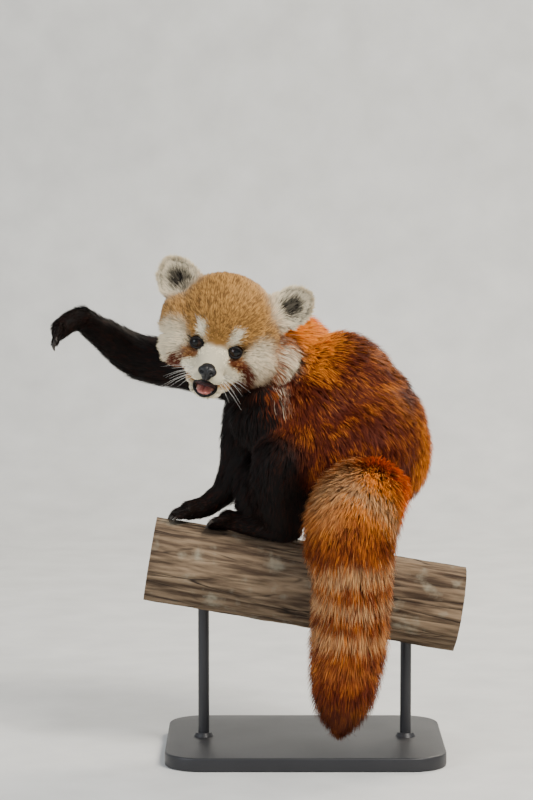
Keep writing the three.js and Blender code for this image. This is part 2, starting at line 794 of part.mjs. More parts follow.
addNode("tail_end", rust, tailPart(5, 7, [4.85, 5.7]));
addNode("tail_middle", rust, tailPart(3, 5, [3.05, 3.95]));
addNode("tail_root", rust, tailPart(0, 3, [0.35, 1.25, 2.15]));

export default model;
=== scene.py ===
"""A red panda at life size, crouched on a length of branch on a display stand, dressed over its solids."""

import logging
import math
from dataclasses import dataclass, field
from enum import Enum, IntEnum

import bmesh
import bpy
import numpy as np
from mathutils import Matrix, Vector
from mathutils.kdtree import KDTree


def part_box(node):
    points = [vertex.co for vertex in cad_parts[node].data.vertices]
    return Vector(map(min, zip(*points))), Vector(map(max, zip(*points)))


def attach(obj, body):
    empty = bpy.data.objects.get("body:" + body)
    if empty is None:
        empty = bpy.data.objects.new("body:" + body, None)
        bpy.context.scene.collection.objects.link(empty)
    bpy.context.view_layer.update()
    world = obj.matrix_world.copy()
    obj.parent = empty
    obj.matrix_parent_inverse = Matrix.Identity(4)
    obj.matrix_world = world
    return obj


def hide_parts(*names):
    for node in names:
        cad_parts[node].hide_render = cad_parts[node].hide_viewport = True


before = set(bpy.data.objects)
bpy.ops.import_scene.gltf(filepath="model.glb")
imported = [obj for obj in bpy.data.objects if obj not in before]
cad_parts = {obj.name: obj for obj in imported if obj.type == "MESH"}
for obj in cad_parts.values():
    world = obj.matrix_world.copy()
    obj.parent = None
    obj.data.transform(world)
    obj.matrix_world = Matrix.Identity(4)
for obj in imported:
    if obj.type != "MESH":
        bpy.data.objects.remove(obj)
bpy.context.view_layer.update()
log = logging.getLogger("red_panda")

MM = 0.001
VOXEL = 0.0026  # mesh size of the skin
BAKE_PATCH = 0.003  # size of a tuft's patch on the bake map
BAKE_COLUMNS = 9
SKIN_RELAX = 36  # rounds that soften the body's creases
MOST_TUFTS = 38000  # in one piece of the coat
TUFT_SINK = 0.0012  # how far a tuft starts under the skin
GRAIN = np.random.default_rng(57)


class Zone(IntEnum):
    """The parts of the coat that differ in hair."""

    HEAD = 0
    EAR = 1
    NECK = 2
    BACK = 3
    HAUNCH = 4
    ARM = 5
    LEG = 6
    FOOT = 7
    TAIL = 8


class Slot(Enum):
    """The record's material slots."""

    PAINT = "stand_paint"
    BARK = "bark"
    RUST = "rust_fur"
    CREAM = "cream_fur"
    TAN = "tan_fur"
    BLACK = "black_fur"
    EYE = "eye_glass"
    NOSE = "nose_leather"
    FLESH = "mouth_flesh"


def turned(x: float, y: float, z: float) -> np.ndarray:
    """A rotation by degrees about x, y and z, the last of them applied first."""
    about = [Matrix.Rotation(math.radians(a), 3, axis) for a, axis in ((x, "X"), (y, "Y"), (z, "Z"))]
    return np.array(about[0] @ about[1] @ about[2])


def smooth(values: np.ndarray, low: float, high: float) -> np.ndarray:
    """A soft step from 0 at low to 1 at high, which may be below low."""
    t = np.clip((values - low) / (high - low), 0, 1)
    return t * t * (3 - 2 * t)


def unit(vectors: np.ndarray) -> np.ndarray:
    """Vectors brought to length 1."""
    return vectors / np.maximum(np.linalg.norm(vectors, axis=-1, keepdims=True), 1e-9)


HEAD_TURN = (
    Matrix.Rotation(math.radians(14.5), 3, "Y")
    @ Matrix.Rotation(math.radians(-4), 3, "Z")
    @ Matrix.Rotation(math.radians(8), 3, "X")
)
HEAD_AT = Vector((-95, -60, 444))
HEAD_AXES = np.array(HEAD_TURN)


def on_head(point: tuple[float, float, float]) -> Vector:
    """A point of the head's own frame, in millimetres, as a place in the row frame, in metres."""
    return (HEAD_TURN @ Vector(point) + HEAD_AT) * MM


def head_frame(points: np.ndarray) -> np.ndarray:
    """Places in the row frame, in metres, as points of the head's own frame, in millimetres."""
    return (points / MM - np.array(HEAD_AT)) @ HEAD_AXES


@dataclass(frozen=True)
class Bead:
    """One ellipsoid of the body, in millimetres, with the way its hair lies."""

    zone: Zone
    part: int
    centre: tuple[float, float, float]
    half: tuple[float, float, float]
    axes: np.ndarray
    lie: tuple[float, float, float]


@dataclass
class Body:
    """The animal's flesh as ellipsoids, sunk below the outline by the depth of the coat.

    Each part is an island of the bake map.
    """

    beads: list[Bead] = field(default_factory=list)
    parts: int = 0

    TAIL_STATIONS = (
        (84, -46, 300, 34),
        (61, -85, 288, 52),
        (47, -108, 256, 56),
        (48, -108, 216, 50),
        (47, -103, 172, 48),
        (44, -99, 126, 47),
        (40, -97, 84, 41),
        (37, -96, 57, 30),
    )

    def new_part(self) -> int:
        """Starts a new island of the bake map and returns its number."""
        self.parts += 1
        return self.parts - 1

    def ball(
        self,
        zone: Zone,
        centre: tuple[float, float, float],
        half: tuple[float, float, float],
        sink: float,
        lie: tuple[float, float, float],
        turn: tuple[float, float, float] = (0, 0, 0),
        on_head_frame: bool = False,
    ) -> None:
        """Adds one ellipsoid to the part that was started last.

        Args:
            zone: the coat it carries.
            centre: its middle.
            half: its half sizes out to the coat's tips.
            sink: how far the skin lies below them.
            lie: the way its hair lies.
            turn: its rotation in degrees.
            on_head_frame: whether all of these are in the head's own frame.
        """
        axes = turned(*turn)
        if on_head_frame:
            axes = HEAD_AXES @ axes
            centre = tuple(HEAD_AXES @ np.array(centre) + np.array(HEAD_AT))
            lie = tuple(HEAD_AXES @ np.array(lie))
        size = tuple(max(h - sink, 1.2) for h in half)
        self.beads.append(Bead(zone, self.parts - 1, tuple(centre), size, axes, lie))

    def limb(self, zone: Zone, stations: list[tuple[float, ...]], sink: float, step: float = 6.0) -> None:
        """Adds round beads along a curve through stations of x, y, z and radius.

        Args:
            zone: the coat it carries.
            stations: points with a radius, from the top of the limb down.
            sink: how far the skin lies below the outline.
            step: the distance between beads, in millimetres.
        """
        path = curve_through(np.array(stations, dtype=float), step)
        ways = unit(np.gradient(path[:, :3], axis=0))
        for (x, y, z, radius), way in zip(path, ways):
            self.ball(zone, (x, y, z), (radius,) * 3, sink, tuple(way))

    def build(self) -> None:
        """Lays out every form of the animal."""
        down_back = (0.72, -0.12, -0.62)
        self.new_part()
        self.ball(Zone.BACK, (-20, 42, 414), (64, 64, 68), 13, down_back)
        self.ball(Zone.BACK, (30, 18, 386), (78, 74, 77), 13, down_back)
        self.ball(Zone.BACK, (60, -3, 346), (69, 66, 76), 13, (0.5, -0.15, -0.85))
        self.ball(Zone.BACK, (48, 22, 366), (78, 72, 76), 13, down_back)
        self.ball(Zone.BACK, (-48, 50, 410), (50, 46, 46), 12, (0.2, 0.3, -0.9))
        self.ball(Zone.BACK, (6, -8, 372), (62, 62, 62), 13, (0.4, -0.2, -0.85))
        self.ball(Zone.NECK, (-54, -6, 424), (58, 52, 50), 11, (0.55, -0.25, -0.8), (0, 30, 30))
        self.ball(Zone.NECK, (-40, -22, 372), (44, 40, 46), 9, (0.1, -0.2, -0.95))
        self.new_part()
        self.ball(Zone.HAUNCH, (18, -40, 340), (66, 42, 50), 10, (0.45, -0.1, -0.85), (0, 12, -6))
        self.ball(Zone.HAUNCH, (52, -34, 336), (60, 46, 60), 10, (0.45, -0.1, -0.85))
        self.new_part()
        self.ball(Zone.HAUNCH, (90, 20, 330), (52, 48, 68), 10, (0.25, -0.2, -0.95), (0, -6, 20))
        self.ball(Zone.HAUNCH, (80, 12, 352), (56, 56, 62), 11, (0.35, -0.15, -0.9))
        self.head()
        self.legs()
        self.new_part()
        self.limb(Zone.TAIL, list(self.TAIL_STATIONS), 17, 8)

    def head(self) -> None:
        """The skull, cheeks, muzzle, jaw and ears, in the head's own frame."""
        self.new_part()
        for centre, half, sink, lie in (
            ((0, 38, 26), (56, 50, 49), 5, (0, 1, 0.5)),
            ((0, 16, 12), (38, 24, 24), 3.5, (0, 0.5, 1)),
            ((0, 15, -22), (38, 27, 24), 4, (0, 0.8, -0.6)),
            ((0, -6, -45), (20, 24, 11), 3, (0, 0.7, -0.7)),
            ((0, 8, -40), (26, 18, 12), 3, (0, 0.8, -0.6)),
            ((9, -24, -27), (12, 14, 9), 2, (0.6, 0.8, -0.2)),
            ((-9, -24, -27), (12, 14, 9), 2, (-0.6, 0.8, -0.2)),
        ):
            self.ball(Zone.HEAD, centre, half, sink, lie, on_head_frame=True)
        for t in np.linspace(0, 1, 7):
            middle = (0, 10 - 34 * t, -15 - 5 * t)
            self.ball(Zone.HEAD, middle, (24 - 9 * t,) * 3, 2.5, (0, 0.9, 0.4), on_head_frame=True)
        for side in (1, -1):
            for centre, half, sink, lie in (
                ((side * 33.5 + 2, 25, -9), (29, 28, 30), 4.5, (side * 0.8, 0.4, -0.6)),
                ((side * 39.5 - 3, 30, 16), (27, 30, 30), 4.5, (side * 0.8, 0.5, 0.2)),
                ((side * 22, 8, 14), (14, 12, 8), 1.5, (side * 0.3, 0.5, 0.8)),
                ((side * 22, 8, -13), (15, 13, 8), 1.5, (side * 0.6, 0.5, -0.5)),
                ((side * 33, 15, 0), (8, 12, 14), 1.5, (side * 0.9, 0.4, 0)),
            ):
                self.ball(Zone.HEAD, centre, half, sink, lie, on_head_frame=True)
        for side in (1, -1):
            self.new_part()
            turn = ear_turn(side)
            up = turned(*turn) @ np.array([0, 0, 1.0])
            x, y, z = ear_at(side)
            self.ball(Zone.EAR, (x, y, z), (27, 11, 29), 4, tuple(up), turn, True)
            self.ball(Zone.EAR, (x + side * 11, y, z + 12), (15, 9, 15), 3, tuple(up), turn, True)
            self.ball(Zone.EAR, (side * 46, 34, 40), (23, 13, 17), 4, tuple(up), turn, True)

    def legs(self) -> None:
        """Both forelegs and both hind legs, down to the toes."""
        limbs = (
            (Zone.ARM, [(-44, 14, 402, 42), (-62, 9, 354, 33), (-71, 8, 318, 26), (-84, 6, 288, 19.5)], 7),
            (Zone.FOOT, [(-88, 6, 282, 16), (-106, 4, 268, 15), (-124, 2, 263, 14)], 3),
            (
                Zone.ARM,
                [
                    (-62, 50, 408, 40),
                    (-118, 58, 416, 34),
                    (-176, 60, 424, 30),
                    (-212, 40, 447, 24),
                    (-238, 13, 469, 17),
                ],
                7,
            ),
            (Zone.FOOT, [(-240, 10, 470, 15), (-252, 0, 468, 14.5), (-262, -8, 461, 14)], 3),
            (Zone.LEG, [(-22, -44, 330, 38), (-30, -38, 292, 32), (-22, -26, 252, 23)], 6),
            (Zone.FOOT, [(-14, -24, 243, 16), (-45, -21, 247, 15.5), (-82, -17, 255, 14)], 3),
            (Zone.LEG, [(86, 36, 316, 38), (82, 22, 280, 29), (73, 0, 246, 20)], 6),
            (Zone.FOOT, [(72, -12, 234, 15), (70, 14, 232, 15), (66, 40, 216, 13.5)], 3),
        )
        near_hind = 4
        for index, (zone, stations, sink) in enumerate(limbs):
            if index % 2 == 0:
                self.new_part()
            self.limb(zone, stations, sink)
            if index == near_hind:  # the folded leg and the belly fill the gap before the tail
                self.ball(zone, (-44, -16, 292), (36, 26, 46), sink, (-0.1, -0.2, -0.95))
                self.ball(zone, (-4, -18, 288), (26, 30, 42), sink, (0.1, -0.2, -0.95))
        for paw in PAWS:
            for root, tip, _ in paw.toes():
                way = tip - root
                for t in np.linspace(0, 1, 5):
                    centre = tuple(root + way * t)
                    half = (paw.radius - 1.2,) * 3
                    self.beads.append(Bead(Zone.FOOT, paw.part, centre, half, np.eye(3), tuple(unit(way))))


@dataclass(frozen=True)
class Paw:
    """The toes of a foot, spread from the middle of its knuckles, in millimetres."""

    part: int
    at: tuple[float, float, float]
    ahead: tuple[float, float, float]
    under: tuple[float, float, float]
    spread: float
    length: float
    radius: float

    def toes(self) -> list[tuple[np.ndarray, np.ndarray, np.ndarray]]:
        """The root, tip and claw's point of each toe."""
        forward = unit(np.array(self.ahead, dtype=float))
        under = unit(np.array(self.under, dtype=float))
        across = unit(np.cross(forward, under))
        found = []
        for share in np.linspace(-0.5, 0.5, 5):
            reach = self.length * (1 - 1.1 * share * share)
            root = np.array(self.at) + across * share * self.spread
            way = forward + across * share * 0.5
            tip = root + way * reach + under * reach * 0.25
            nail = tip + way * self.radius * 1.5 + under * self.radius * 1.0
            found.append((root, tip, nail))
        return found


PAWS = (
    Paw(6, (-126, 2, 262.5), (-1, -0.12, -0.05), (0, 0, -1), 30, 14, 6),
    Paw(7, (-263, -9, 460), (-0.6, -0.35, -0.75), (0.75, -0.1, -0.6), 28, 13, 5.6),
    Paw(8, (-84, -17, 252.5), (-1, 0, 0.08), (0, -0.35, -1), 30, 15, 6),
    Paw(9, (66, 41, 215), (-0.05, 0.6, -0.8), (0, -0.8, -0.6), 30, 15, 6),
)


def curve_through(stations: np.ndarray, step: float) -> np.ndarray:
    """Points at about even steps on a smooth curve through stations.

    Args:
        stations: rows whose first three numbers are a place; any others are carried along.
        step: the distance between points, in the stations' unit.

    Returns:
        Rows like the stations'.
    """
    padded = np.vstack([2 * stations[0] - stations[1], stations, 2 * stations[-1] - stations[-2]])
    rows = []
    for a, b, c, d in zip(padded, padded[1:], padded[2:], padded[3:]):
        count = max(2, round(float(np.linalg.norm(c[:3] - b[:3])) / step))
        square, cube = 2 * a - 5 * b + 4 * c - d, 3 * b - a - 3 * c + d
        for t in np.arange(count) / count:
            rows.append(0.5 * (2 * b + (c - a) * t + square * t**2 + cube * t**3))
    rows.append(stations[-1])
    return np.array(rows)


def make_object(name: str, mesh: bpy.types.Mesh, slot: Slot, *nodes: str) -> bpy.types.Object:
    """Puts a mesh in the scene as a piece of the model.

    Args:
        name: the piece's name.
        mesh: its shape, in the row frame, in metres.
        slot: the record's material slot meant for it; not used.
        nodes: the CAD nodes it stands for.

    Returns:
        The piece.
    """
    mesh.name = name
    piece = bpy.data.objects.new(name, mesh)
    bpy.context.scene.collection.objects.link(piece)
    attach(piece, "root")
    if nodes:
        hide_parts(*nodes)
    log.info("%s: %d faces", name, len(mesh.polygons))
    return piece


def applied(piece: bpy.types.Object) -> bpy.types.Mesh:
    """A piece's mesh with its modifiers in it.

    Args:
        piece: the piece, which is removed.

    Returns:
        The mesh.
    """
    graph = bpy.context.evaluated_depsgraph_get()
    mesh = bpy.data.meshes.new_from_object(piece.evaluated_get(graph), depsgraph=graph)
    bpy.data.objects.remove(piece)
    return mesh


def melted(shape: bmesh.types.BMesh, voxel: float, rounds: int) -> bpy.types.Mesh:
    """Closed forms that overlap, made one surface and smoothed.

    Args:
        shape: the forms, which are used up.
        voxel: the size of the new faces, in metres.
        rounds: how often the surface is smoothed.

    Returns:
        The new mesh.
    """
    mesh = bpy.data.meshes.new("forms")
    shape.to_mesh(mesh)
    shape.free()
    piece = bpy.data.objects.new("forms", mesh)
    bpy.context.scene.collection.objects.link(piece)
    remesh = piece.modifiers.new("one surface", "REMESH")
    remesh.mode = "VOXEL"
    remesh.voxel_size = voxel
    soften = piece.modifiers.new("soften", "SMOOTH")
    soften.factor = 0.5
    soften.iterations = rounds
    return applied(piece)


def shaded(shape: bmesh.types.BMesh, name: str, sharp: float | None = None) -> bpy.types.Mesh:
    """Turns a shape into a mesh with smooth shading.

    Args:
        shape: the shape, which is used up.
        name: the mesh's name.
        sharp: the angle in degrees over which edges stay sharp, if any do.

    Returns:
        The mesh.
    """
    mesh = bpy.data.meshes.new(name)
    shape.to_mesh(mesh)
    shape.free()
    mesh.shade_smooth()
    if sharp is not None:
        mesh.set_sharp_from_angle(angle=math.radians(sharp))
    return mesh


def positions(mesh: bpy.types.Mesh) -> np.ndarray:
    """A mesh's points as rows."""
    flat = np.empty(len(mesh.vertices) * 3)
    mesh.vertices.foreach_get("co", flat)
    return flat.reshape(-1, 3)


def set_positions(mesh: bpy.types.Mesh, points: np.ndarray) -> None:
    """Moves a mesh's points."""
    mesh.vertices.foreach_set("co", points.ravel())
    mesh.update()


def set_attribute(mesh: bpy.types.Mesh, name: str, values: np.ndarray) -> None:
    """Stores a number or a vector on each point of a mesh."""
    kind, key = ("FLOAT", "value") if values.ndim == 1 else ("FLOAT_VECTOR", "vector")
    mesh.attributes.new(name, kind, "POINT").data.foreach_set(key, values.astype(np.float32).ravel())


def strand(name: str, lines: list[list[tuple[Vector, float]]], sides: int = 3) -> bpy.types.Mesh:
    """Round tapered strands through points, as one mesh.

    Args:
        name: a name for the mesh.
        lines: for each strand, its points in metres and its radius there.
        sides: half the number of sides less one, as a curve's bevel resolution counts them.

    Returns:
        The mesh, with its ends closed.
    """
    curve = bpy.data.curves.new(name, "CURVE")
    curve.dimensions = "3D"
    curve.bevel_depth = 1.0
    curve.bevel_resolution = sides
    curve.use_fill_caps = True
    curve.resolution_u = 6
    for line in lines:
        spline = curve.splines.new("BEZIER")
        spline.bezier_points.add(len(line) - 1)
        for knot, (place, radius) in zip(spline.bezier_points, line):
            knot.co = place
            knot.radius = radius
            knot.handle_left_type = knot.handle_right_type = "AUTO"
    piece = bpy.data.objects.new(name, curve)
    bpy.context.scene.collection.objects.link(piece)
    mesh = applied(piece)
    mesh.shade_smooth()
    return mesh


EYE_SIDE, EYE_RADIUS, EYE_DEPTH = 21.0, 7.8, 4.0
NOSE_AT = (0.0, -39.0, -19.0)
MOUTH_AT = (0.0, -22.0, -39.0)


def ear_at(side: int) -> tuple[float, float, float]:
    """The middle of an ear in the head's frame: the left one is cocked further out."""
    return (65.0, 34.0, 56.0) if side > 0 else (-59.0, 34.0, 54.0)


def ear_turn(side: int) -> tuple[float, float, float]:
    """How an ear is turned in the head's frame, in degrees."""
    return 8, side * 46, -side * 18


def ear_frame(points: np.ndarray, side: int) -> np.ndarray:
    """Points of the head's frame in an ear's own frame: x across, -y out of the cup, z to the tip."""
    return (points - np.array(ear_at(side))) @ turned(*ear_turn(side))


def nearest_ear(points: np.ndarray) -> np.ndarray:
    """Points of the head's frame in the frame of the ear on their own side."""
    return np.where((points[:, 0] > 0)[:, None], ear_frame(points, 1), ear_frame(points, -1))


def across(points: np.ndarray, axis: np.ndarray) -> np.ndarray:
    """The two coordinates of each point that lie across its own axis.

    Args:
        points: places in the row frame.
        axis: 0, 1 or 2 for each of them.

    Returns:
        Rows of two numbers.
    """
    along_y = np.where(axis[:, None] == 1, points[:, [0, 2]], points[:, [0, 1]])
    return np.where(axis[:, None] == 0, points[:, [1, 2]], along_y)


@dataclass
class Skin:
    """One skin over all of the flesh, with the lie of the hair on it."""

    body: Body
    mesh: bpy.types.Mesh = field(init=False)
    object: bpy.types.Object = field(init=False)
    points: np.ndarray = field(init=False)
    normals: np.ndarray = field(init=False)
    shares: np.ndarray = field(init=False)
    lie: np.ndarray = field(init=False)
    part: np.ndarray = field(init=False)
    middles: dict[int, np.ndarray] = field(init=False)
    reaches: dict[int, float] = field(init=False)

    def build(self) -> bpy.types.Object:
        """Makes the skin and what the coat needs to know about it.

        Returns:
            The skin's piece.
        """
        shape = bmesh.new()
        for bead in self.body.beads:
            place = Matrix.Translation(Vector(bead.centre)) @ Matrix(bead.axes.tolist()).to_4x4()
            place = Matrix.Scale(MM, 4) @ place @ Matrix.Diagonal((*bead.half, 1))
            fine = 4 if max(bead.half) > 22 else 3
            bmesh.ops.create_icosphere(shape, subdivisions=fine, radius=1.0, matrix=place)
        self.mesh = melted(shape, VOXEL, 6)
        self.mesh.shade_smooth()
        self.relax(SKIN_RELAX)
        set_positions(self.mesh, self.sculpt(positions(self.mesh)))
        self.survey()
        self.unwrap()
        nodes = [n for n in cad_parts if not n.startswith(("stand", "perch", "eye", "nose", "tongue"))]
        self.object = make_object("skin", self.mesh, Slot.RUST, *nodes)
        return self.object

    def relax(self, rounds: int) -> None:
        """Softens the creases of the body, away from the head and the feet.

        Args:
            rounds: how often each point moves towards its neighbours.
        """
        mesh = self.mesh
        points = positions(mesh)
        count = len(points)
        ends = np.empty(len(mesh.edges) * 2, dtype=int)
        mesh.edges.foreach_get("vertices", ends)
        a, b = ends.reshape(-1, 2).T
        near = np.bincount(a, minlength=count) + np.bincount(b, minlength=count)
        hold = smooth(np.linalg.norm(head_frame(points) - np.array([0, 15, 0]), axis=1), 70, 95)
        for paw in PAWS:
            hold = np.minimum(hold, smooth(np.linalg.norm(points / MM - np.array(paw.at), axis=1), 35, 70))
        for _ in range(rounds):
            for k in range(3):
                total = np.bincount(a, weights=points[b, k], minlength=count)
                total += np.bincount(b, weights=points[a, k], minlength=count)
                points[:, k] += hold * 0.6 * (total / near - points[:, k])
        set_positions(mesh, points)

    def sculpt(self, points: np.ndarray) -> np.ndarray:
        """Presses the eye sockets, the mouth and the cups of the ears into the head.

        Args:
            points: the skin's points, in metres.

        Returns:
            The moved points.
        """
        head = head_frame(points)
        near = np.linalg.norm(head - np.array([0, 20, 0]), axis=1) < 130
        moved = head.copy()
        for side in (1, -1):
            offset = head - np.array([side * EYE_SIDE, -4, 0])
            away = np.linalg.norm(offset / np.array([11, 16, 10]), axis=1)
            push = 1.5 * (1 - smooth(away, 0.2, 1))
            moved[:, 1] += np.where(near & (head[:, 1] < 14), push, 0)
        x, y, z = head.T
        open_mouth = 1 - np.clip((x / 12.5) ** 2 + ((z - MOUTH_AT[2]) / 8.5) ** 2, 0, 1)
        inside = near & (open_mouth > 0) & (y < 0)
        moved[:, 1] = np.where(inside, y + (-2 - y) * np.sqrt(open_mouth), moved[:, 1])
        for side in (1, -1):
            local = ear_frame(head, side)
            cup = 1 - np.clip((local[:, 0] / 20) ** 2 + ((local[:, 2] - 1) / 22) ** 2, 0, 1)
            push = 9 * np.sqrt(cup) * (local[:, 1] < 0) * (np.abs(local[:, 1]) < 14)
            out = turned(*ear_turn(side))[:, 1]
            moved += np.where(near, push, 0)[:, None] * out
        return (moved @ HEAD_AXES.T + np.array(HEAD_AT)) * MM

    def survey(self) -> None:
        """Finds, for each point of the skin, its share of each zone, its part and the lie of its hair."""
        self.points = positions(self.mesh)
        place = self.points / MM
        count = len(place)
        depth = np.full((count, len(Zone)), 1e3)
        best = np.full(count, 1e3)
        self.part = np.zeros(count, dtype=int)
        lie = np.zeros((count, 3))
        for bead in self.body.beads:
            local = (place - np.array(bead.centre)) @ bead.axes
            half = np.array(bead.half)
            ratio = np.linalg.norm(local / half, axis=1)
            steep = np.linalg.norm(local / half**2, axis=1) + 1e-6
            away = ratio * (ratio - 1) / steep
            depth[:, bead.zone] = np.minimum(depth[:, bead.zone], away)
            nearer = away < best
            self.part[nearer] = bead.part
            best = np.minimum(best, away)
            lie += np.exp(-np.clip(away, -5, 80) / 10)[:, None] * np.array(bead.lie)
        shares = np.exp(-(depth - depth.min(axis=1, keepdims=True)) / 4)
        self.shares = shares / shares.sum(axis=1, keepdims=True)
        self.lie = self.head_lie(unit(lie))
        self.normals = np.empty(count * 3)
        self.mesh.vertices.foreach_get("normal", self.normals)
        self.normals = self.normals.reshape(-1, 3)

    def head_lie(self, lie: np.ndarray) -> np.ndarray:
        """Puts in the head's own lie: away from the nose, cheeks down and out, ears to the rim.

        Args:
            lie: the lie of the body's hair at each point.

        Returns:
            The lie of all the hair.
        """
        head = head_frame(self.points)
        arch = (self.shares[:, Zone.TAIL] * smooth(tail_length(self.points / MM), 80, 20))[:, None]
        lie = unit(lie * (1 - arch) + arch * (0.45 * lie + np.array([-0.25, -0.25, -0.75])))
        face = unit(head - np.array([0, -44, -14]))
        cheek = smooth(np.abs(head[:, 0]), 22, 40) * smooth(head[:, 2], 18, -6)
        even = np.ones(len(head))
        hang = np.stack([np.sign(head[:, 0]) * 0.75, even * 0.35, even * -0.55], axis=1)
        face = unit(face * (1 - 0.6 * cheek)[:, None] + hang * (0.8 * cheek)[:, None])
        ear = np.zeros_like(face)
        for side in (1, -1):
            mine = (np.sign(head[:, 0]) == side)[:, None]
            ear = np.where(mine, unit(head - np.array([side * 44, 30, 36])), ear)
        own = self.shares[:, [Zone.HEAD]]
        ears = self.shares[:, [Zone.EAR]]
        return unit(lie * (1 - own - ears) + (face * own + ear * ears) @ HEAD_AXES.T)

    def island(self, points: np.ndarray, normals: np.ndarray, part: np.ndarray) -> np.ndarray:
        """Lays each part flat on the bake map from the six sides it faces, in cells of its own.

        Args:
            points: places in the row frame, in metres.
            normals: the ways the surface faces there.
            part: the part each place belongs to.

        Returns:
            Places on the map, from 0 to 1.
        """
        axis = np.argmax(np.abs(normals), axis=1)
        facing = axis * 2 + (np.take_along_axis(normals, axis[:, None], axis=1)[:, 0] > 0)
        cell = part * 6 + facing
        middle = np.array([self.middles[p] for p in range(self.body.parts)])[part]
        reach = np.array([self.reaches[p] for p in range(self.body.parts)])[part]
        local = (across(points, axis) - across(middle, axis)) / reach[:, None] / 2 + 0.5
        local = np.clip(local, 0.02, 0.98)
        corner = np.stack([cell % BAKE_COLUMNS, cell // BAKE_COLUMNS], axis=1)
        return (corner + 0.03 + 0.94 * local) * (1 / BAKE_COLUMNS)

    def unwrap(self) -> None:
        """Lays the skin out on its bake map."""
        self.middles, self.reaches = {}, {}
        for part in range(self.body.parts):
            own = self.points[self.part == part]
            low, high = (own.min(axis=0), own.max(axis=0)) if len(own) else (np.zeros(3), np.ones(3))
            self.middles[part] = (low + high) / 2
            self.reaches[part] = float((high - low).max()) / 2
        mesh = self.mesh
        corners = np.empty(len(mesh.loops), dtype=int)
        mesh.loops.foreach_get("vertex_index", corners)
        sizes = np.empty(len(mesh.polygons), dtype=int)
        mesh.polygons.foreach_get("loop_total", sizes)
        facing = np.empty(len(mesh.polygons) * 3)
        mesh.polygons.foreach_get("normal", facing)
        starts = np.cumsum(sizes) - sizes
        face = np.repeat(np.arange(len(sizes)), sizes)
        uv = self.island(self.points[corners], facing.reshape(-1, 3)[face], self.part[corners[starts]][face])
        mesh.uv_layers.new(name="OFBake").data.foreach_set("uv", uv.astype(np.float32).ravel())


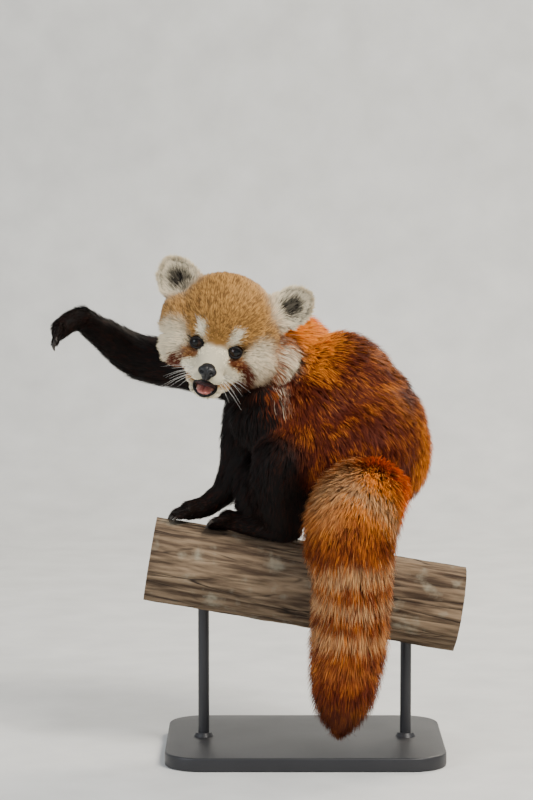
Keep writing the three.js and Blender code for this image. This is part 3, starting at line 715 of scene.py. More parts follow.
@dataclass
class Markings:
    """The pattern of the coat, with painted sunlight and shade in parts of it: shares of gold, tan, cream,
    red-brown and black at each place.

    Each zone's method takes places in millimetres, the ways out of the skin and a slow wave.
    It gives the five shares in that order.
    """

    TEAR = ((21, -9), (31, -12), (37, -19), (36, -29), (29, -37))
    PALE_RINGS = (62, 117, 152, 188, 222)
    TIP_FROM = 258

    def at(
        self, points: np.ndarray, normals: np.ndarray, shares: np.ndarray
    ) -> tuple[np.ndarray, np.ndarray]:
        """The shares at each place.

        Args:
            points: places in the row frame, in metres.
            normals: the ways out of the skin there.
            shares: the share of each zone there.

        Returns:
            Rows of gold, tan and cream, and rows of red-brown and black.
        """
        gold, tan, cream, tear, black = (np.zeros(len(points)) for _ in range(5))
        place = points / MM
        x, y, z = place.T
        wave = np.sin(x / 7.3 + 2 * np.sin(z / 11)) + np.sin(z / 6.1 + y / 8.7)
        for zone, pattern in (
            (Zone.HEAD, self.head),
            (Zone.EAR, self.ear),
            (Zone.NECK, self.neck),
            (Zone.BACK, self.back),
            (Zone.HAUNCH, self.haunch),
            (Zone.ARM, self.arm),
            (Zone.LEG, self.leg),
            (Zone.FOOT, self.foot),
            (Zone.TAIL, self.tail),
        ):
            share = shares[:, zone]
            own = pattern(place, normals, wave)
            for total, value in zip((gold, tan, cream, tear, black), own):
                total += share * value
        return np.stack([gold, tan, cream], axis=1), np.stack([tear, black], axis=1)

    def head(self, place: np.ndarray, normals: np.ndarray, wave: np.ndarray) -> tuple:
        """Golden-tan crown, white muzzle, brows and cheeks, and a red-brown stripe under each eye."""
        x, y, z = head_frame(place * MM).T
        side = np.abs(x) + 0.6 * wave
        muzzle = 1 - smooth(np.hypot(side / 25, (z + 17) / (22 + 0.35 * np.clip(side, 0, 14))), 0.7, 1.0)
        muzzle *= smooth(y, 16, 6)
        cheek = 0.74 * (1 - smooth(np.hypot((side - 45) / 21, (z + 7) / 30), 0.55, 1.05))
        under = 1 - smooth(np.hypot((side - 22) / 15, (z + 26) / 9), 0.6, 1.0)
        bag = 1 - smooth(np.hypot((side - 25) / 11, (z + 11) / 6), 0.6, 1.0)
        brow = 1 - smooth(np.hypot((side - 16.5 - 0.15 * (z - 15)) / 8.0, (z - 14) / 13.5), 0.4, 1.0)
        chin = smooth(z, -38, -43) * smooth(y, 12, 2)
        cream = np.clip(muzzle + cheek + under + 0.95 * brow + chin, 0, 1)
        cream = cream * smooth(y, 62, 48) * (1 - 0.75 * bag)
        stripe = np.full(len(x), 1e3)
        knots = np.array(self.TEAR, dtype=float)
        for a, b in zip(knots, knots[1:]):
            run, rise = b - a
            beside, above = side - a[0], z - a[1]
            t = np.clip((beside * run + above * rise) / np.sum((b - a) ** 2), 0, 1)
            stripe = np.minimum(stripe, np.hypot(beside - t * run, above - t * rise))
        tear = (1 - smooth(stripe, 3.2, 7.5)) * (0.55 + 0.45 * smooth(z, -10, -20))
        behind = smooth(side, 50, 60) * smooth(z, 2, 14) * smooth(z, 44, 32) * smooth(y, 20, 34)
        below = smooth(z, -32, -40) * smooth(side, 20, 30) * smooth(y, 8, 18)
        tear = np.clip(tear + 0.8 * behind + 0.8 * below, 0, 1) * smooth(z, 46, 38)
        rim = 1 - smooth(np.hypot((np.abs(x) - EYE_SIDE) / 8.8, z / 7.2), 0.8, 1.1)
        lip = 1 - smooth(np.hypot(x / 13.0, (z - MOUTH_AT[2]) / 9.2), 0.85, 1.02)
        throat = smooth(z, -44, -52) * smooth(y, 8, 18)
        black = np.clip(rim * (y < 16) + lip * smooth(y, 10, 2) + throat, 0, 1)
        nape = smooth(y, 44, 66)
        return 0.6 * nape, 1 - nape, cream, tear, black

    def ear(self, place: np.ndarray, normals: np.ndarray, wave: np.ndarray) -> tuple:
        """Cream ears with a dark patch deep in the cup and a red-brown back."""
        head = head_frame(place * MM)
        local = nearest_ear(head)
        patch = 1 - smooth(np.hypot(local[:, 0] / 13, (local[:, 2] + 5) / 16), 0.5, 1.0)
        facing = (normals @ HEAD_AXES)[:, 1]
        back = smooth(facing, 0.3, 0.7) * smooth(local[:, 1], 4, 8)
        none = np.zeros(len(place))
        black = np.clip(0.9 * patch * smooth(facing, 0.1, -0.1) + 0.25 * back, 0, 1)
        return none, none + 0.6, none + 0.86, 0.75 * back, black

    def front(self, place: np.ndarray, wave: np.ndarray) -> np.ndarray:
        """Where the black of the throat, chest and belly begins."""
        x, y, z = place.T
        chest = smooth(x + 4 * wave, -38, -50) * smooth(z, 432, 418)
        below = smooth(z + 0.8 * x + 5 * wave, 302, 284)
        return np.maximum(chest, below) * smooth(y, 45, 20)

    def neck(self, place: np.ndarray, normals: np.ndarray, wave: np.ndarray) -> tuple:
        """A cream tuft behind the near cheek, rust above and black at the throat."""
        x, y, z = place.T
        tuft = 1 - smooth(np.hypot((x + 16) / 21, (z - 424 + 3 * wave) / 40), 0.6, 1.0)
        tuft *= smooth(y, 4, -10)
        throat = np.maximum(self.front(place, wave), smooth(z - 0.35 * x, 408, 398) * smooth(x, -20, -34))
        gold = smooth(z, 430, 470)
        return gold, np.zeros(len(x)), 0.95 * tuft * (1 - throat), 0.5 * (1 - gold) * (1 - tuft), throat

    def back(self, place: np.ndarray, normals: np.ndarray, wave: np.ndarray) -> tuple:
        """Bright gold on the shoulder, the coat's own orange with painted sunlight on it; dark red down the
        flank, partly its own colour and partly painted shade; orange over the back's upper right edge as a
        painted highlight; painted shade over darker underfur in the fold at the back's bend; black below.
        """
        x, y, z = place.T
        # painted sunlight: gold on the top of the shoulder, over the coat's own orange
        shoulder = 1 - smooth(np.hypot((x - 2) / 50, (z - 462 + 3 * wave) / 60), 0.35, 1.0)
        # painted highlight: orange-gold on the side of the back that faces up and to the right
        ridge = smooth(normals[:, 0] * 0.8 + normals[:, 2] * 0.6, 0.6, 1.0)
        band = np.exp(-(((x * 0.5 + z * 0.86 - 372) / 16) ** 2))
        gold = np.clip(shoulder + 0.45 * ridge + 0.22 * band + 0.1 * wave, 0, 1)
        # painted shade in the fold at the back's bend, over the darker underfur that shows there
        fold_shade_and_underfur = np.exp(-np.hypot((x - 108) / 16, (z - 392) / 20) ** 2)
        belly = smooth(z - 0.25 * x + 4 * wave, 322, 300) * smooth(y, -10, 20) + smooth(x + 0.2 * z, 52, 36)
        black = np.clip(belly, 0, 1) * (1 - shoulder) * smooth(y, -20, 0)
        black = np.maximum(black, smooth(x + 3 * wave, -44, -62) * smooth(y, 20, 40))
        black = np.clip(black + self.front(place, wave) + 0.75 * fold_shade_and_underfur, 0, 1)
        none = np.zeros(len(x))
        # dark red wherever the gold is missing: partly the flank's own colour, partly painted shade
        return gold * (1 - 0.8 * fold_shade_and_underfur), none, none, 1 - gold, black

    def haunch(self, place: np.ndarray, normals: np.ndarray, wave: np.ndarray) -> tuple:
        """Dark red thighs with a golden edge behind, partly golden tips and partly painted rim light, a
        painted highlight across the near knee, and black towards the knee.
        """
        x, _, z = place.T
        # painted rim light: the thighs' edge behind turns gold, over their own golden tips
        edge = np.clip(smooth(x, 98, 134) + 0.12 * wave, 0, 1)
        # painted highlight: a band of gold across the bulge of the near knee
        band = np.exp(-(((z - 352 - 0.25 * x) / 12) ** 2)) * smooth(x, 30, 0)
        gold = np.clip(edge + 0.35 * band, 0, 1)
        return gold, np.zeros(len(x)), np.zeros(len(x)), 1 - gold, self.front(place, wave)

    def arm(self, place: np.ndarray, normals: np.ndarray, wave: np.ndarray) -> tuple:
        """Black forelegs."""
        none = np.zeros(len(place))
        return none, none, none, none + 0.6, none + 0.97

    def leg(self, place: np.ndarray, normals: np.ndarray, wave: np.ndarray) -> tuple:
        """Black hind legs."""
        none = np.zeros(len(place))
        return none, none, none, none + 0.6, none + 0.97

    def foot(self, place: np.ndarray, normals: np.ndarray, wave: np.ndarray) -> tuple:
        """Black feet."""
        none = np.zeros(len(place))
        return none, none, none, none + 0.5, none + 0.96

    def tail(self, place: np.ndarray, normals: np.ndarray, wave: np.ndarray) -> tuple:
        """Soft buff rings on orange rust, fading towards a dark tip, with the arch paler on the side that
        faces left, partly pale tips and partly a painted highlight.
        """
        along = tail_length(place) + 2.2 * wave
        pale = np.zeros(len(place))
        for ring in self.PALE_RINGS:
            pale = np.maximum(pale, 1 - smooth(np.abs(along - ring), 3, 13))
        fade = 1 - 0.75 * smooth(along, 175, 235)
        arch = smooth(along, 100, 60)
        # painted highlight: the arch turns paler on the side that faces left, over its own pale tips
        lit = smooth(normals[:, 0] * 0.9 - normals[:, 2] * 0.2, 0.1, -0.5)
        pale = np.maximum(pale * fade, 0.9 * arch * lit)
        tip = smooth(along, self.TIP_FROM - 30, self.TIP_FROM + 20)
        gold = np.clip(0.55 * pale + 0.75 * arch * (1 - pale) + 0.2 * fade, 0, 1)
        tan = 0.7 * pale * fade
        return gold, tan, 0.16 * pale * fade, (1 - pale) * (0.55 - 0.5 * arch), 0.6 * tip


TAIL_PATH = curve_through(np.array(Body.TAIL_STATIONS, dtype=float), 3.0)[:, :3]
TAIL_LENGTHS = np.concatenate([[0], np.cumsum(np.linalg.norm(np.diff(TAIL_PATH, axis=0), axis=1))])


def tail_length(place: np.ndarray) -> np.ndarray:
    """How far along the tail's middle line each place lies.

    Args:
        place: places in the row frame, in millimetres.

    Returns:
        Lengths in millimetres.
    """
    best = np.full(len(place), 1e9)
    along = np.zeros(len(place))
    end = TAIL_PATH[-1] + (TAIL_PATH[-1] - TAIL_PATH[-2]) * np.arange(1, 12)[:, None]
    steps = np.linalg.norm(end - TAIL_PATH[-1], axis=1) + TAIL_LENGTHS[-1]
    for point, length in zip(np.vstack([TAIL_PATH, end]), np.concatenate([TAIL_LENGTHS, steps])):
        away = np.sum((place - point) ** 2, axis=1)
        along = np.where(away < best, length, along)
        best = np.minimum(best, away)
    return along


@dataclass(frozen=True)
class Hair:
    """How the tufts of one zone grow: sizes in millimetres, count to the square centimetre."""

    length: float
    width: float
    stand: float
    dense: float
    clump: float
    gather: float


HAIRS = {
    Zone.HEAD: Hair(6.5, 0.66, 0.55, 180, 4.5, 0.3),
    Zone.EAR: Hair(9.5, 0.6, 0.6, 190, 4, 0.12),
    Zone.NECK: Hair(25, 0.9, 0.5, 75, 8, 0.28),
    Zone.BACK: Hair(26, 0.85, 0.62, 78, 8, 0.24),
    Zone.HAUNCH: Hair(23, 0.85, 0.62, 80, 8, 0.24),
    Zone.ARM: Hair(18, 0.85, 0.45, 70, 8, 0.25),
    Zone.LEG: Hair(17, 0.85, 0.45, 70, 8, 0.25),
    Zone.FOOT: Hair(7.5, 0.65, 0.38, 110, 5, 0.15),
    Zone.TAIL: Hair(31, 0.85, 0.72, 78, 8, 0.22),
}


@dataclass(frozen=True)
class Roots:
    """Where tufts stand, and what the skin says there."""

    place: np.ndarray
    normals: np.ndarray
    shares: np.ndarray
    lie: np.ndarray
    part: np.ndarray
    facing: np.ndarray

    def some(self, which: np.ndarray) -> "Roots":
        """The roots at these places of the list."""
        held = (self.place, self.normals, self.shares, self.lie, self.part, self.facing)
        return Roots(*(values[which] for values in held))


@dataclass
class Coat:
    """The hair: thin tapered tufts rooted in the skin, in pieces by zone."""

    skin: Skin
    markings: Markings
    pieces: list[bpy.types.Object] = field(default_factory=list)
    corners: np.ndarray = field(init=False)
    areas: np.ndarray = field(init=False)
    facing: np.ndarray = field(init=False)

    SHARES = (0.0, 0.34, 0.7, 1.0)  # where a tuft's cross-sections lie along it
    WIDTHS = (0.8, 1.0, 0.66)
    POINTS = 7  # of one tuft: three pairs and a tip
    ORDER = (0, 1, 3, 2, 2, 3, 5, 4, 4, 5, 6)  # the corners of a tuft's two quads and its triangle
    STARTS = (0, 4, 8)
    PATCH = ((0, 0), (1, 0), (0, 0.4), (1, 0.4), (0, 0.75), (1, 0.75), (0.5, 1))
    SCATTER = {Zone.HEAD: 1.2, Zone.EAR: 2.0, Zone.FOOT: 2.0}  # how far markings blur, in millimetres
    SLOTS = {
        Zone.HEAD: Slot.TAN,
        Zone.EAR: Slot.CREAM,
        Zone.NECK: Slot.CREAM,
        Zone.ARM: Slot.BLACK,
        Zone.LEG: Slot.BLACK,
        Zone.FOOT: Slot.BLACK,
    }

    def build(self) -> list[bpy.types.Object]:
        """Grows all of the coat.

        Returns:
            Its pieces.
        """
        self.triangles()
        weight = self.areas * 1e4 * self.on_corners(self.density()).mean(axis=1)
        count = int(weight.sum() * (1.0))
        chosen = np.sort(GRAIN.choice(len(weight), size=count, p=weight / weight.sum()))
        roots = self.rooted(chosen)
        zone = np.argmax(roots.shares, axis=1)
        for which in Zone:
            mine = np.flatnonzero(zone == which)
            for index, some in enumerate(np.array_split(mine, max(1, math.ceil(len(mine) / MOST_TUFTS)))):
                self.piece(f"coat_{which.name.lower()}_{index + 1}", which, roots.some(some))
        return self.pieces

    def rooted(self, chosen: np.ndarray) -> Roots:
        """Sets a root at a random place in each chosen triangle.

        Args:
            chosen: the triangles' numbers.

        Returns:
            The roots.
        """
        u, v = GRAIN.random(len(chosen)), GRAIN.random(len(chosen))
        over = u + v > 1
        u, v = np.where(over, 1 - u, u), np.where(over, 1 - v, v)
        bary = np.stack([1 - u - v, u, v], axis=1)[:, :, None]
        skin, corners = self.skin, self.corners[chosen]
        held = (skin.points, skin.normals, skin.shares, skin.lie)
        place, normals, shares, lie = ((values[corners] * bary).sum(axis=1) for values in held)
        return Roots(place, unit(normals), shares, lie, skin.part[corners[:, 0]], self.facing[chosen])

    def triangles(self) -> None:
        """Reads the skin's triangles, their areas and the ways they face."""
        mesh = self.skin.mesh
        mesh.calc_loop_triangles()
        flat = np.empty(len(mesh.loop_triangles) * 3, dtype=int)
        mesh.loop_triangles.foreach_get("vertices", flat)
        self.corners = flat.reshape(-1, 3)
        a, b, c = (self.skin.points[self.corners[:, i]] for i in range(3))
        cross = np.cross(b - a, c - a)
        self.areas = np.linalg.norm(cross, axis=1) / 2
        self.facing = unit(cross)

    def on_corners(self, values: np.ndarray) -> np.ndarray:
        """Values of the skin's points at each triangle's corners."""
        return values[self.corners]

    def density(self) -> np.ndarray:
        """Counts tufts to the square centimetre, with none on eyes, nose or mouth.

        Returns:
            The count at each point of the skin.
        """
        dense = self.skin.shares @ np.array([HAIRS[zone].dense for zone in Zone])
        x, y, z = head_frame(self.skin.points).T
        eye = np.hypot((np.abs(x) - EYE_SIDE) / 7.4, z / 5.8)
        nose = np.hypot(x / 10.5, (z - NOSE_AT[2] + 1) / 8.5) + (y > -20)
        mouth = np.hypot(x / 14, (z - MOUTH_AT[2]) / 9.6) + (y > 4)
        bare = (y < 16) & ((eye < 1) | (nose < 1) | (mouth < 1))
        return np.where(bare, 0, dense)

    def sizes(self, roots: Roots) -> tuple[np.ndarray, np.ndarray, np.ndarray]:
        """Sizes the tufts by their zones, with changes over the face, the ears and the tail's tip.

        Args:
            roots: where the tufts stand.

        Returns:
            Lengths and widths in metres, and how far each tuft stands up, in radians.
        """
        shares = roots.shares
        length = shares @ np.array([HAIRS[zone].length for zone in Zone])
        width = shares @ np.array([HAIRS[zone].width for zone in Zone])
        stand = shares @ np.array([HAIRS[zone].stand for zone in Zone])
        head = head_frame(roots.place)
        x, y, z = head.T
        own = shares[:, Zone.HEAD]
        from_nose = np.linalg.norm(np.stack([x, y + 42, z + 18], axis=1), axis=1)
        ruff = smooth(np.abs(x), 28, 46) * smooth(z, 16, -8) * smooth(y, -4, 12)
        face = 3.4 + 0.078 * np.clip(from_nose - 12, 0, 100) + 10 * ruff
        length = length * (1 - own) + own * face
        stand = stand - own * 0.18 * smooth(from_nose, 60, 20)
        crown = own * smooth(z, 6, 26)
        width = width * (1 + 0.45 * crown)
        length = length * (1 + 0.2 * crown)
        local = nearest_ear(head)
        deep = 1 - smooth(np.hypot(local[:, 0] / 15, local[:, 2] / 22), 0.5, 1.0)
        low = smooth(local[:, 2], -4, -26)
        length += shares[:, Zone.EAR] * (4 * deep + 7 * low)
        tip = shares[:, Zone.TAIL] * smooth(tail_length(roots.place / MM), 262, 292)
        return (length * (1 - 0.15 * tip)) * MM, width * MM, stand * (1 - 0.35 * tip)

    def piece(self, name: str, zone: Zone, roots: Roots) -> None:
        """Grows one piece of the coat.

        Args:
            name: the piece's name.
            zone: the part of the coat.
            roots: where its tufts stand.
        """
        hair = HAIRS[zone]
        count = len(roots.place)
        if not count:
            return
        normals = roots.normals
        length, width, stand = self.sizes(roots)
        length = length * GRAIN.uniform(0.72, 1.12, count)
        width = width * GRAIN.uniform(0.7, 1.25, count)
        waves = (((1, 2, 0.5), 0), ((0.4, -1, 2), 2), ((2, 0.6, -1), 4))
        drift = np.stack([np.sin(roots.place @ np.array(k) * 260 + start) for k, start in waves], axis=1)
        way = roots.lie + 0.16 * drift + GRAIN.normal(0, 0.1, (count, 3))
        way = unit(way - normals * np.sum(way * normals, axis=1, keepdims=True))
        stand = np.clip(stand * GRAIN.uniform(0.65, 1.3, count), 0.05, 1.2)
        rise, run = np.sin(stand)[:, None], np.cos(stand)[:, None]
        reach = length[:, None]
        rows = []
        for t in self.SHARES:
            lift = rise * (t - 0.28 * t * t)
            rows.append(roots.place + reach * (way * run * t + normals * lift) - normals * TUFT_SINK)
        stations = self.clumped(np.stack(rows, axis=1), hair)
        side = np.cross(way, normals) + normals * GRAIN.normal(0, 0.35, (count, 1))
        side = unit(side)[:, None, :] * (width / 2)[:, None, None] * np.array(self.WIDTHS)[None, :, None]
        self.pieces.append(self.mesh(name, zone, side, stations, roots))

    def clumped(self, stations: np.ndarray, hair: Hair) -> np.ndarray:
        """Draws the tips of tufts that stand together towards one tuft's tip.

        Args:
            stations: the middles of each tuft's cross-sections, which are changed.
            hair: how the zone's hair grows.

        Returns:
            The stations.
        """
        roots = stations[:, 0]
        spacing = hair.clump * MM
        centres = {}
        for index, key in enumerate(map(tuple, np.floor(roots / spacing).astype(int))):
            centres.setdefault(key, index)
        chosen = np.array(list(centres.values()))
        tree = KDTree(len(chosen))
        for index, centre in enumerate(roots[chosen]):
            tree.insert(centre, index)
        tree.balance()
        nearest = np.array([tree.find(root)[1] for root in roots])
        goal = stations[chosen[nearest]]
        for k, t in enumerate(self.SHARES):
            pull = hair.gather * t**1.3
            stations[:, k] += pull * (goal[:, k] - stations[:, k])
        return stations

    def mesh(
        self, name: str, zone: Zone, side: np.ndarray, stations: np.ndarray, roots: Roots
    ) -> bpy.types.Object:
        """Turns tufts into a mesh with soft shading, markings and a bake map.

        Args:
            name: the piece's name.
            zone: the part of the coat.
            side: half of each cross-section's width, as a vector.
            stations: the middles of the cross-sections.
            roots: where the tufts stand.

        Returns:
            The piece.
        """
        count = len(roots.place)
        body = np.stack([stations[:, :3] - side, stations[:, :3] + side], axis=2).reshape(count, 6, 3)
        points = np.concatenate([body, stations[:, 3:]], axis=1).reshape(-1, 3)
        mesh = bpy.data.meshes.new(name)
        mesh.vertices.add(len(points))
        mesh.vertices.foreach_set("co", points.ravel())
        mesh.loops.add(count * len(self.ORDER))
        corners = (np.arange(count)[:, None] * self.POINTS + np.array(self.ORDER)).ravel()
        mesh.loops.foreach_set("vertex_index", corners)
        mesh.polygons.add(count * len(self.STARTS))
        starts = (np.arange(count)[:, None] * len(self.ORDER) + np.array(self.STARTS)).ravel()
        mesh.polygons.foreach_set("loop_start", starts)
        mesh.update()
        along = unit(stations[:, 3] - stations[:, 0])
        own = np.cross(unit(side[:, 1]), along)
        own *= np.sign(np.sum(own * roots.normals, axis=1, keepdims=True))
        soft = unit(0.72 * roots.normals + 0.28 * own)
        mesh.shade_smooth()
        mesh.normals_split_custom_set_from_vertices(np.repeat(soft, self.POINTS, axis=0))
        self.mark(mesh, zone, roots)
        spot = self.skin.island(roots.place, roots.facing, roots.part)
        patch = BAKE_PATCH * (np.array(self.PATCH) - 0.5)
        uv = (spot[:, None, :] + patch).reshape(-1, 2)[corners]
        mesh.uv_layers.new(name="OFBake").data.foreach_set("uv", uv.astype(np.float32).ravel())
        return make_object(name, mesh, self.SLOTS.get(zone, Slot.RUST))

    def mark(self, mesh: bpy.types.Mesh, zone: Zone, roots: Roots) -> None:
        """Stores the markings, a shade for each lock and the place along the tuft.

        Args:
            mesh: the tufts.
            zone: the part of the coat.
            roots: where the tufts stand.
        """
        count = len(roots.place)
        scatter = self.SCATTER.get(zone, 5.0) * MM
        blurred = roots.place + GRAIN.normal(0, scatter, (count, 3))
        light, dark = self.markings.at(blurred, roots.normals, roots.shares)
        cell = np.floor(roots.place / ((1.8 if zone == Zone.HEAD else 3.0) * MM)).astype(int)
        lock = np.modf(np.abs(np.sin(cell @ np.array([12.9898, 78.233, 37.719])) * 43758.5453))[0]
        shade = np.clip(0.55 * lock + 0.45 * GRAIN.random(count), 0, 1)
        set_attribute(mesh, "light", np.repeat(light, self.POINTS, axis=0))
        set_attribute(mesh, "dark", np.repeat(np.column_stack([dark, shade]), self.POINTS, axis=0))
        share = [t for t in self.SHARES[:3] for _ in range(2)] + [self.SHARES[3]]
        set_attribute(mesh, "along", np.tile(np.array(share), count))


class Sock:
    """A node's socket that reads as a number in sums."""

    def __init__(self, tree: bpy.types.NodeTree, socket: bpy.types.NodeSocket) -> None:
        """Wraps a socket of a tree."""
        self.tree = tree
        self.socket = socket

    def node(
        self, kind: str, settings: dict | None = None, output: int | str = 0, **inputs: object
    ) -> "Sock":
        """Adds any node to this tree.

        Args:
            kind: the node's type.
            settings: its own settings, which are set before its sockets.
            output: which of its outputs to return.
            inputs: values or links of its sockets, with _ for a space, or a number after _ for a place.

        Returns:
            The output, wrapped.
        """
        made = self.tree.nodes.new(kind)
        for key, value in (settings or {}).items():
            setattr(made, key, value)
        for key, value in inputs.items():
            place = made.inputs[int(key[1:])] if key[1:].isdigit() else made.inputs[key.replace("_", " ")]
            if isinstance(value, Sock):
                self.tree.links.new(value.socket, place)
            else:
                place.default_value = value
        return Sock(self.tree, made.outputs[output])

    def maths(self, operation: str, a: object, b: object, clamp: bool = False) -> "Sock":
        """A Math node of two values."""
        return self.node("ShaderNodeMath", {"operation": operation, "use_clamp": clamp}, _0=a, _1=b)

    def __add__(self, other: object) -> "Sock":
        """The sum."""
        return self.maths("ADD", self, other)

    __radd__ = __add__

    def __mul__(self, other: object) -> "Sock":
        """The product."""
        return self.maths("MULTIPLY", self, other)

    __rmul__ = __mul__

    def __sub__(self, other: object) -> "Sock":
        """The difference."""
        return self.maths("SUBTRACT", self, other)

    def __rsub__(self, other: object) -> "Sock":
        """The difference, the other way round."""
        return self.maths("SUBTRACT", other, self)

    def clamp(self) -> "Sock":
        """The value kept between 0 and 1."""
        return self.maths("ADD", self, 0.0, clamp=True)

    def step(self, low: float, high: float) -> "Sock":
        """A soft step from 0 at low to 1 at high."""
        return self.node("ShaderNodeMapRange", {"interpolation_type": "SMOOTHSTEP"}, _0=self, _1=low, _2=high)

    def mix(self, below: object, above: object) -> "Sock":
        """A colour between two, by this value."""
        colours = [c if isinstance(c, Sock) else (*c, 1.0) for c in (below, above)]
        return self.node("ShaderNodeMix", {"data_type": "RGBA"}, 2, _0=self, _6=colours[0], _7=colours[1])


Colour = tuple[float, float, float]


@dataclass(frozen=True)
class Finish:
    """A material's name and the values that are the same all over it."""

    name: str
    roughness: float = 0.5
    specular: float = 0.5
    coat: float = 0.0
    sheen: float = 0.0
    metallic: float = 0.0

    def material(self) -> bpy.types.Material:
        """Makes the material and dresses it."""
        material = bpy.data.materials.new(self.name)
        material.use_nodes = True
        tree = material.node_tree
        tree.nodes.clear()
        shader = tree.nodes.new("ShaderNodeBsdfPrincipled")
        end = tree.nodes.new("ShaderNodeOutputMaterial")
        tree.links.new(shader.outputs[0], end.inputs[0])
        for key, value in (
            ("Roughness", self.roughness),
            ("Specular IOR Level", self.specular),
            ("Coat Weight", self.coat),
            ("Sheen Weight", self.sheen),
            ("Metallic", self.metallic),
        ):
            shader.inputs[key].default_value = value
        shader.inputs["Coat Roughness"].default_value = 0.04
        start = Sock(tree, shader.outputs[0])
        self.dress(start, shader)
        return material

    def link(self, shader: bpy.types.Node, name: str, value: Sock) -> None:
        """Feeds one of the shader's sockets."""
        value.tree.links.new(value.socket, shader.inputs[name])

    def dress(self, tree: Sock, shader: bpy.types.Node) -> None:
        """Sets what changes over the surface."""

    def place(self, tree: Sock, scale: tuple[float, float, float] = (1, 1, 1)) -> Sock:
        """Object coordinates, scaled."""
        here = tree.node("ShaderNodeTexCoord", output="Object")
        return tree.node("ShaderNodeMapping", _0=here, Scale=scale)

    def noise(self, tree: Sock, where: Sock, scale: float, detail: float = 3.0) -> Sock:
        """Noise at a place."""
        return tree.node("ShaderNodeTexNoise", _0=where, Scale=scale, Detail=detail)

    def bump(
        self, tree: Sock, shader: bpy.types.Node, height: Sock, depth: float, strength: float = 0.6
    ) -> None:
        """Raises the surface by a height, in metres at 1."""
        relief = tree.node("ShaderNodeBump", Strength=strength, Distance=depth, Height=height)
        self.link(shader, "Normal", relief)


@dataclass(frozen=True)
class FurFinish(Finish):
    """Hair, or the skin under it, in the animal's own markings, with painted light and shade mixed in."""

    skin: bool = False

    RUST: Colour = (0.25, 0.032, 0.005)
    GOLD: Colour = (0.92, 0.28, 0.018)
    TAN: Colour = (0.56, 0.29, 0.080)
    SPECK: Colour = (0.10, 0.042, 0.014)
    CREAM: Colour = (0.91, 0.82, 0.60)
    TEAR: Colour = (0.10, 0.015, 0.0045)
    BLACK: Colour = (0.006, 0.0045, 0.004)

    def dress(self, tree: Sock, shader: bpy.types.Node) -> None:
        """Mixes the named colours by the markings, darker at the roots as painted shade, in soft patches of
        painted shade and light, and varied from tuft to tuft.
        """
        light = tree.node("ShaderNodeAttribute", {"attribute_name": "light"}, "Vector")
        dark = tree.node("ShaderNodeAttribute", {"attribute_name": "dark"}, "Vector")
        along = tree.node("ShaderNodeAttribute", {"attribute_name": "along"}, "Fac")
        gold, tan, cream = (tree.node("ShaderNodeSeparateXYZ", None, k, _0=light) for k in range(3))
        tear, black, shade = (tree.node("ShaderNodeSeparateXYZ", None, k, _0=dark) for k in range(3))
        # painted mottled shade and light: soft noise patches that darken and brighten the coat's colours
        patch = self.noise(tree, self.place(tree), 55.0, 2.0)
        tips = along.step(0.3, 0.9)
        bright = shade.step(0.5, 0.85) * tips
        gilded = (gold * 0.7 + gold * tips * 0.35 + bright * 0.32 + (patch - 0.5) * 0.8).clamp()
        colour = gilded.mix(self.RUST, self.GOLD)
        tear_mix = (tear * (1.2 - 0.95 * bright) - (patch - 0.5) * 2.2 * tear).clamp()
        speck = (1 - shade.step(0.36, 0.58)) * tips * 0.75
        # tan tufts darken towards their roots: partly their own dark bases, partly painted shade between the
        # tufts
        crown = (speck + (1 - along) * 0.6).clamp().mix(self.TAN, self.SPECK)
        colour = tan.clamp().mix(colour, crown)
        colour = cream.clamp().mix(colour, self.CREAM)
        colour = tear_mix.mix(colour, self.TEAR)
        colour = (black * (0.85 + 0.4 * shade)).clamp().mix(colour, self.BLACK)
        depth = 0.6 if self.skin else 0.42 + 0.58 * along.step(0.0, 0.8)
        shadowed = (depth * (0.8 + 0.4 * shade)).clamp()
        colour = shadowed.mix((0.010, 0.004, 0.002), colour)
        self.link(shader, "Base Color", colour)


@dataclass(frozen=True)
class EyeFinish(Finish):
    """A wet dark eye: black pupil, brown iris, dark edge."""

    def dress(self, tree: Sock, shader: bpy.types.Node) -> None:
        """Colours the eye by the angle from its axis."""
        gaze = tree.node("ShaderNodeAttribute", {"attribute_name": "gaze"}, "Fac")
        streaks = self.noise(tree, self.place(tree), 900.0)
        iris = (streaks * 0.8).clamp().mix((0.008, 0.003, 0.002), (0.026, 0.009, 0.004))
        colour = gaze.step(0.45, 0.53).mix((0.002, 0.002, 0.002), iris)
        colour = gaze.step(0.80, 0.95).mix(colour, (0.006, 0.004, 0.003))
        self.link(shader, "Base Color", colour)


@dataclass(frozen=True)
class LeatherFinish(Finish):
    """Moist pebbled skin of the nose, lips and lids."""

    colour: Colour = (0.012, 0.012, 0.014)
    pale: Colour = (0.045, 0.042, 0.045)
    pebble: float = 1400.0
    depth: float = 0.0004

    def dress(self, tree: Sock, shader: bpy.types.Node) -> None:
        """Pebbles the surface and greys it in soft patches."""
        where = self.place(tree)
        cells = tree.node("ShaderNodeTexVoronoi", _0=where, Scale=self.pebble)
        cloud = self.noise(tree, where, 240.0)
        self.link(shader, "Base Color", (cloud.step(0.45, 0.75) * 0.7).mix(self.colour, self.pale))
        self.link(shader, "Roughness", self.roughness + (cells - 0.4) * 0.25)
        self.bump(tree, shader, 1 - cells, self.depth, 0.5)


@dataclass(frozen=True)
class HornFinish(Finish):
    """Claws and teeth, streaked between two colours."""

    deep: Colour = (0.020, 0.016, 0.014)
    pale: Colour = (0.085, 0.070, 0.056)

    def dress(self, tree: Sock, shader: bpy.types.Node) -> None:
        """Streaks the horn along Object coordinates."""
        grain = self.noise(tree, self.place(tree, (1, 1, 3)), 420.0)
        self.link(shader, "Base Color", grain.step(0.35, 0.75).mix(self.deep, self.pale))


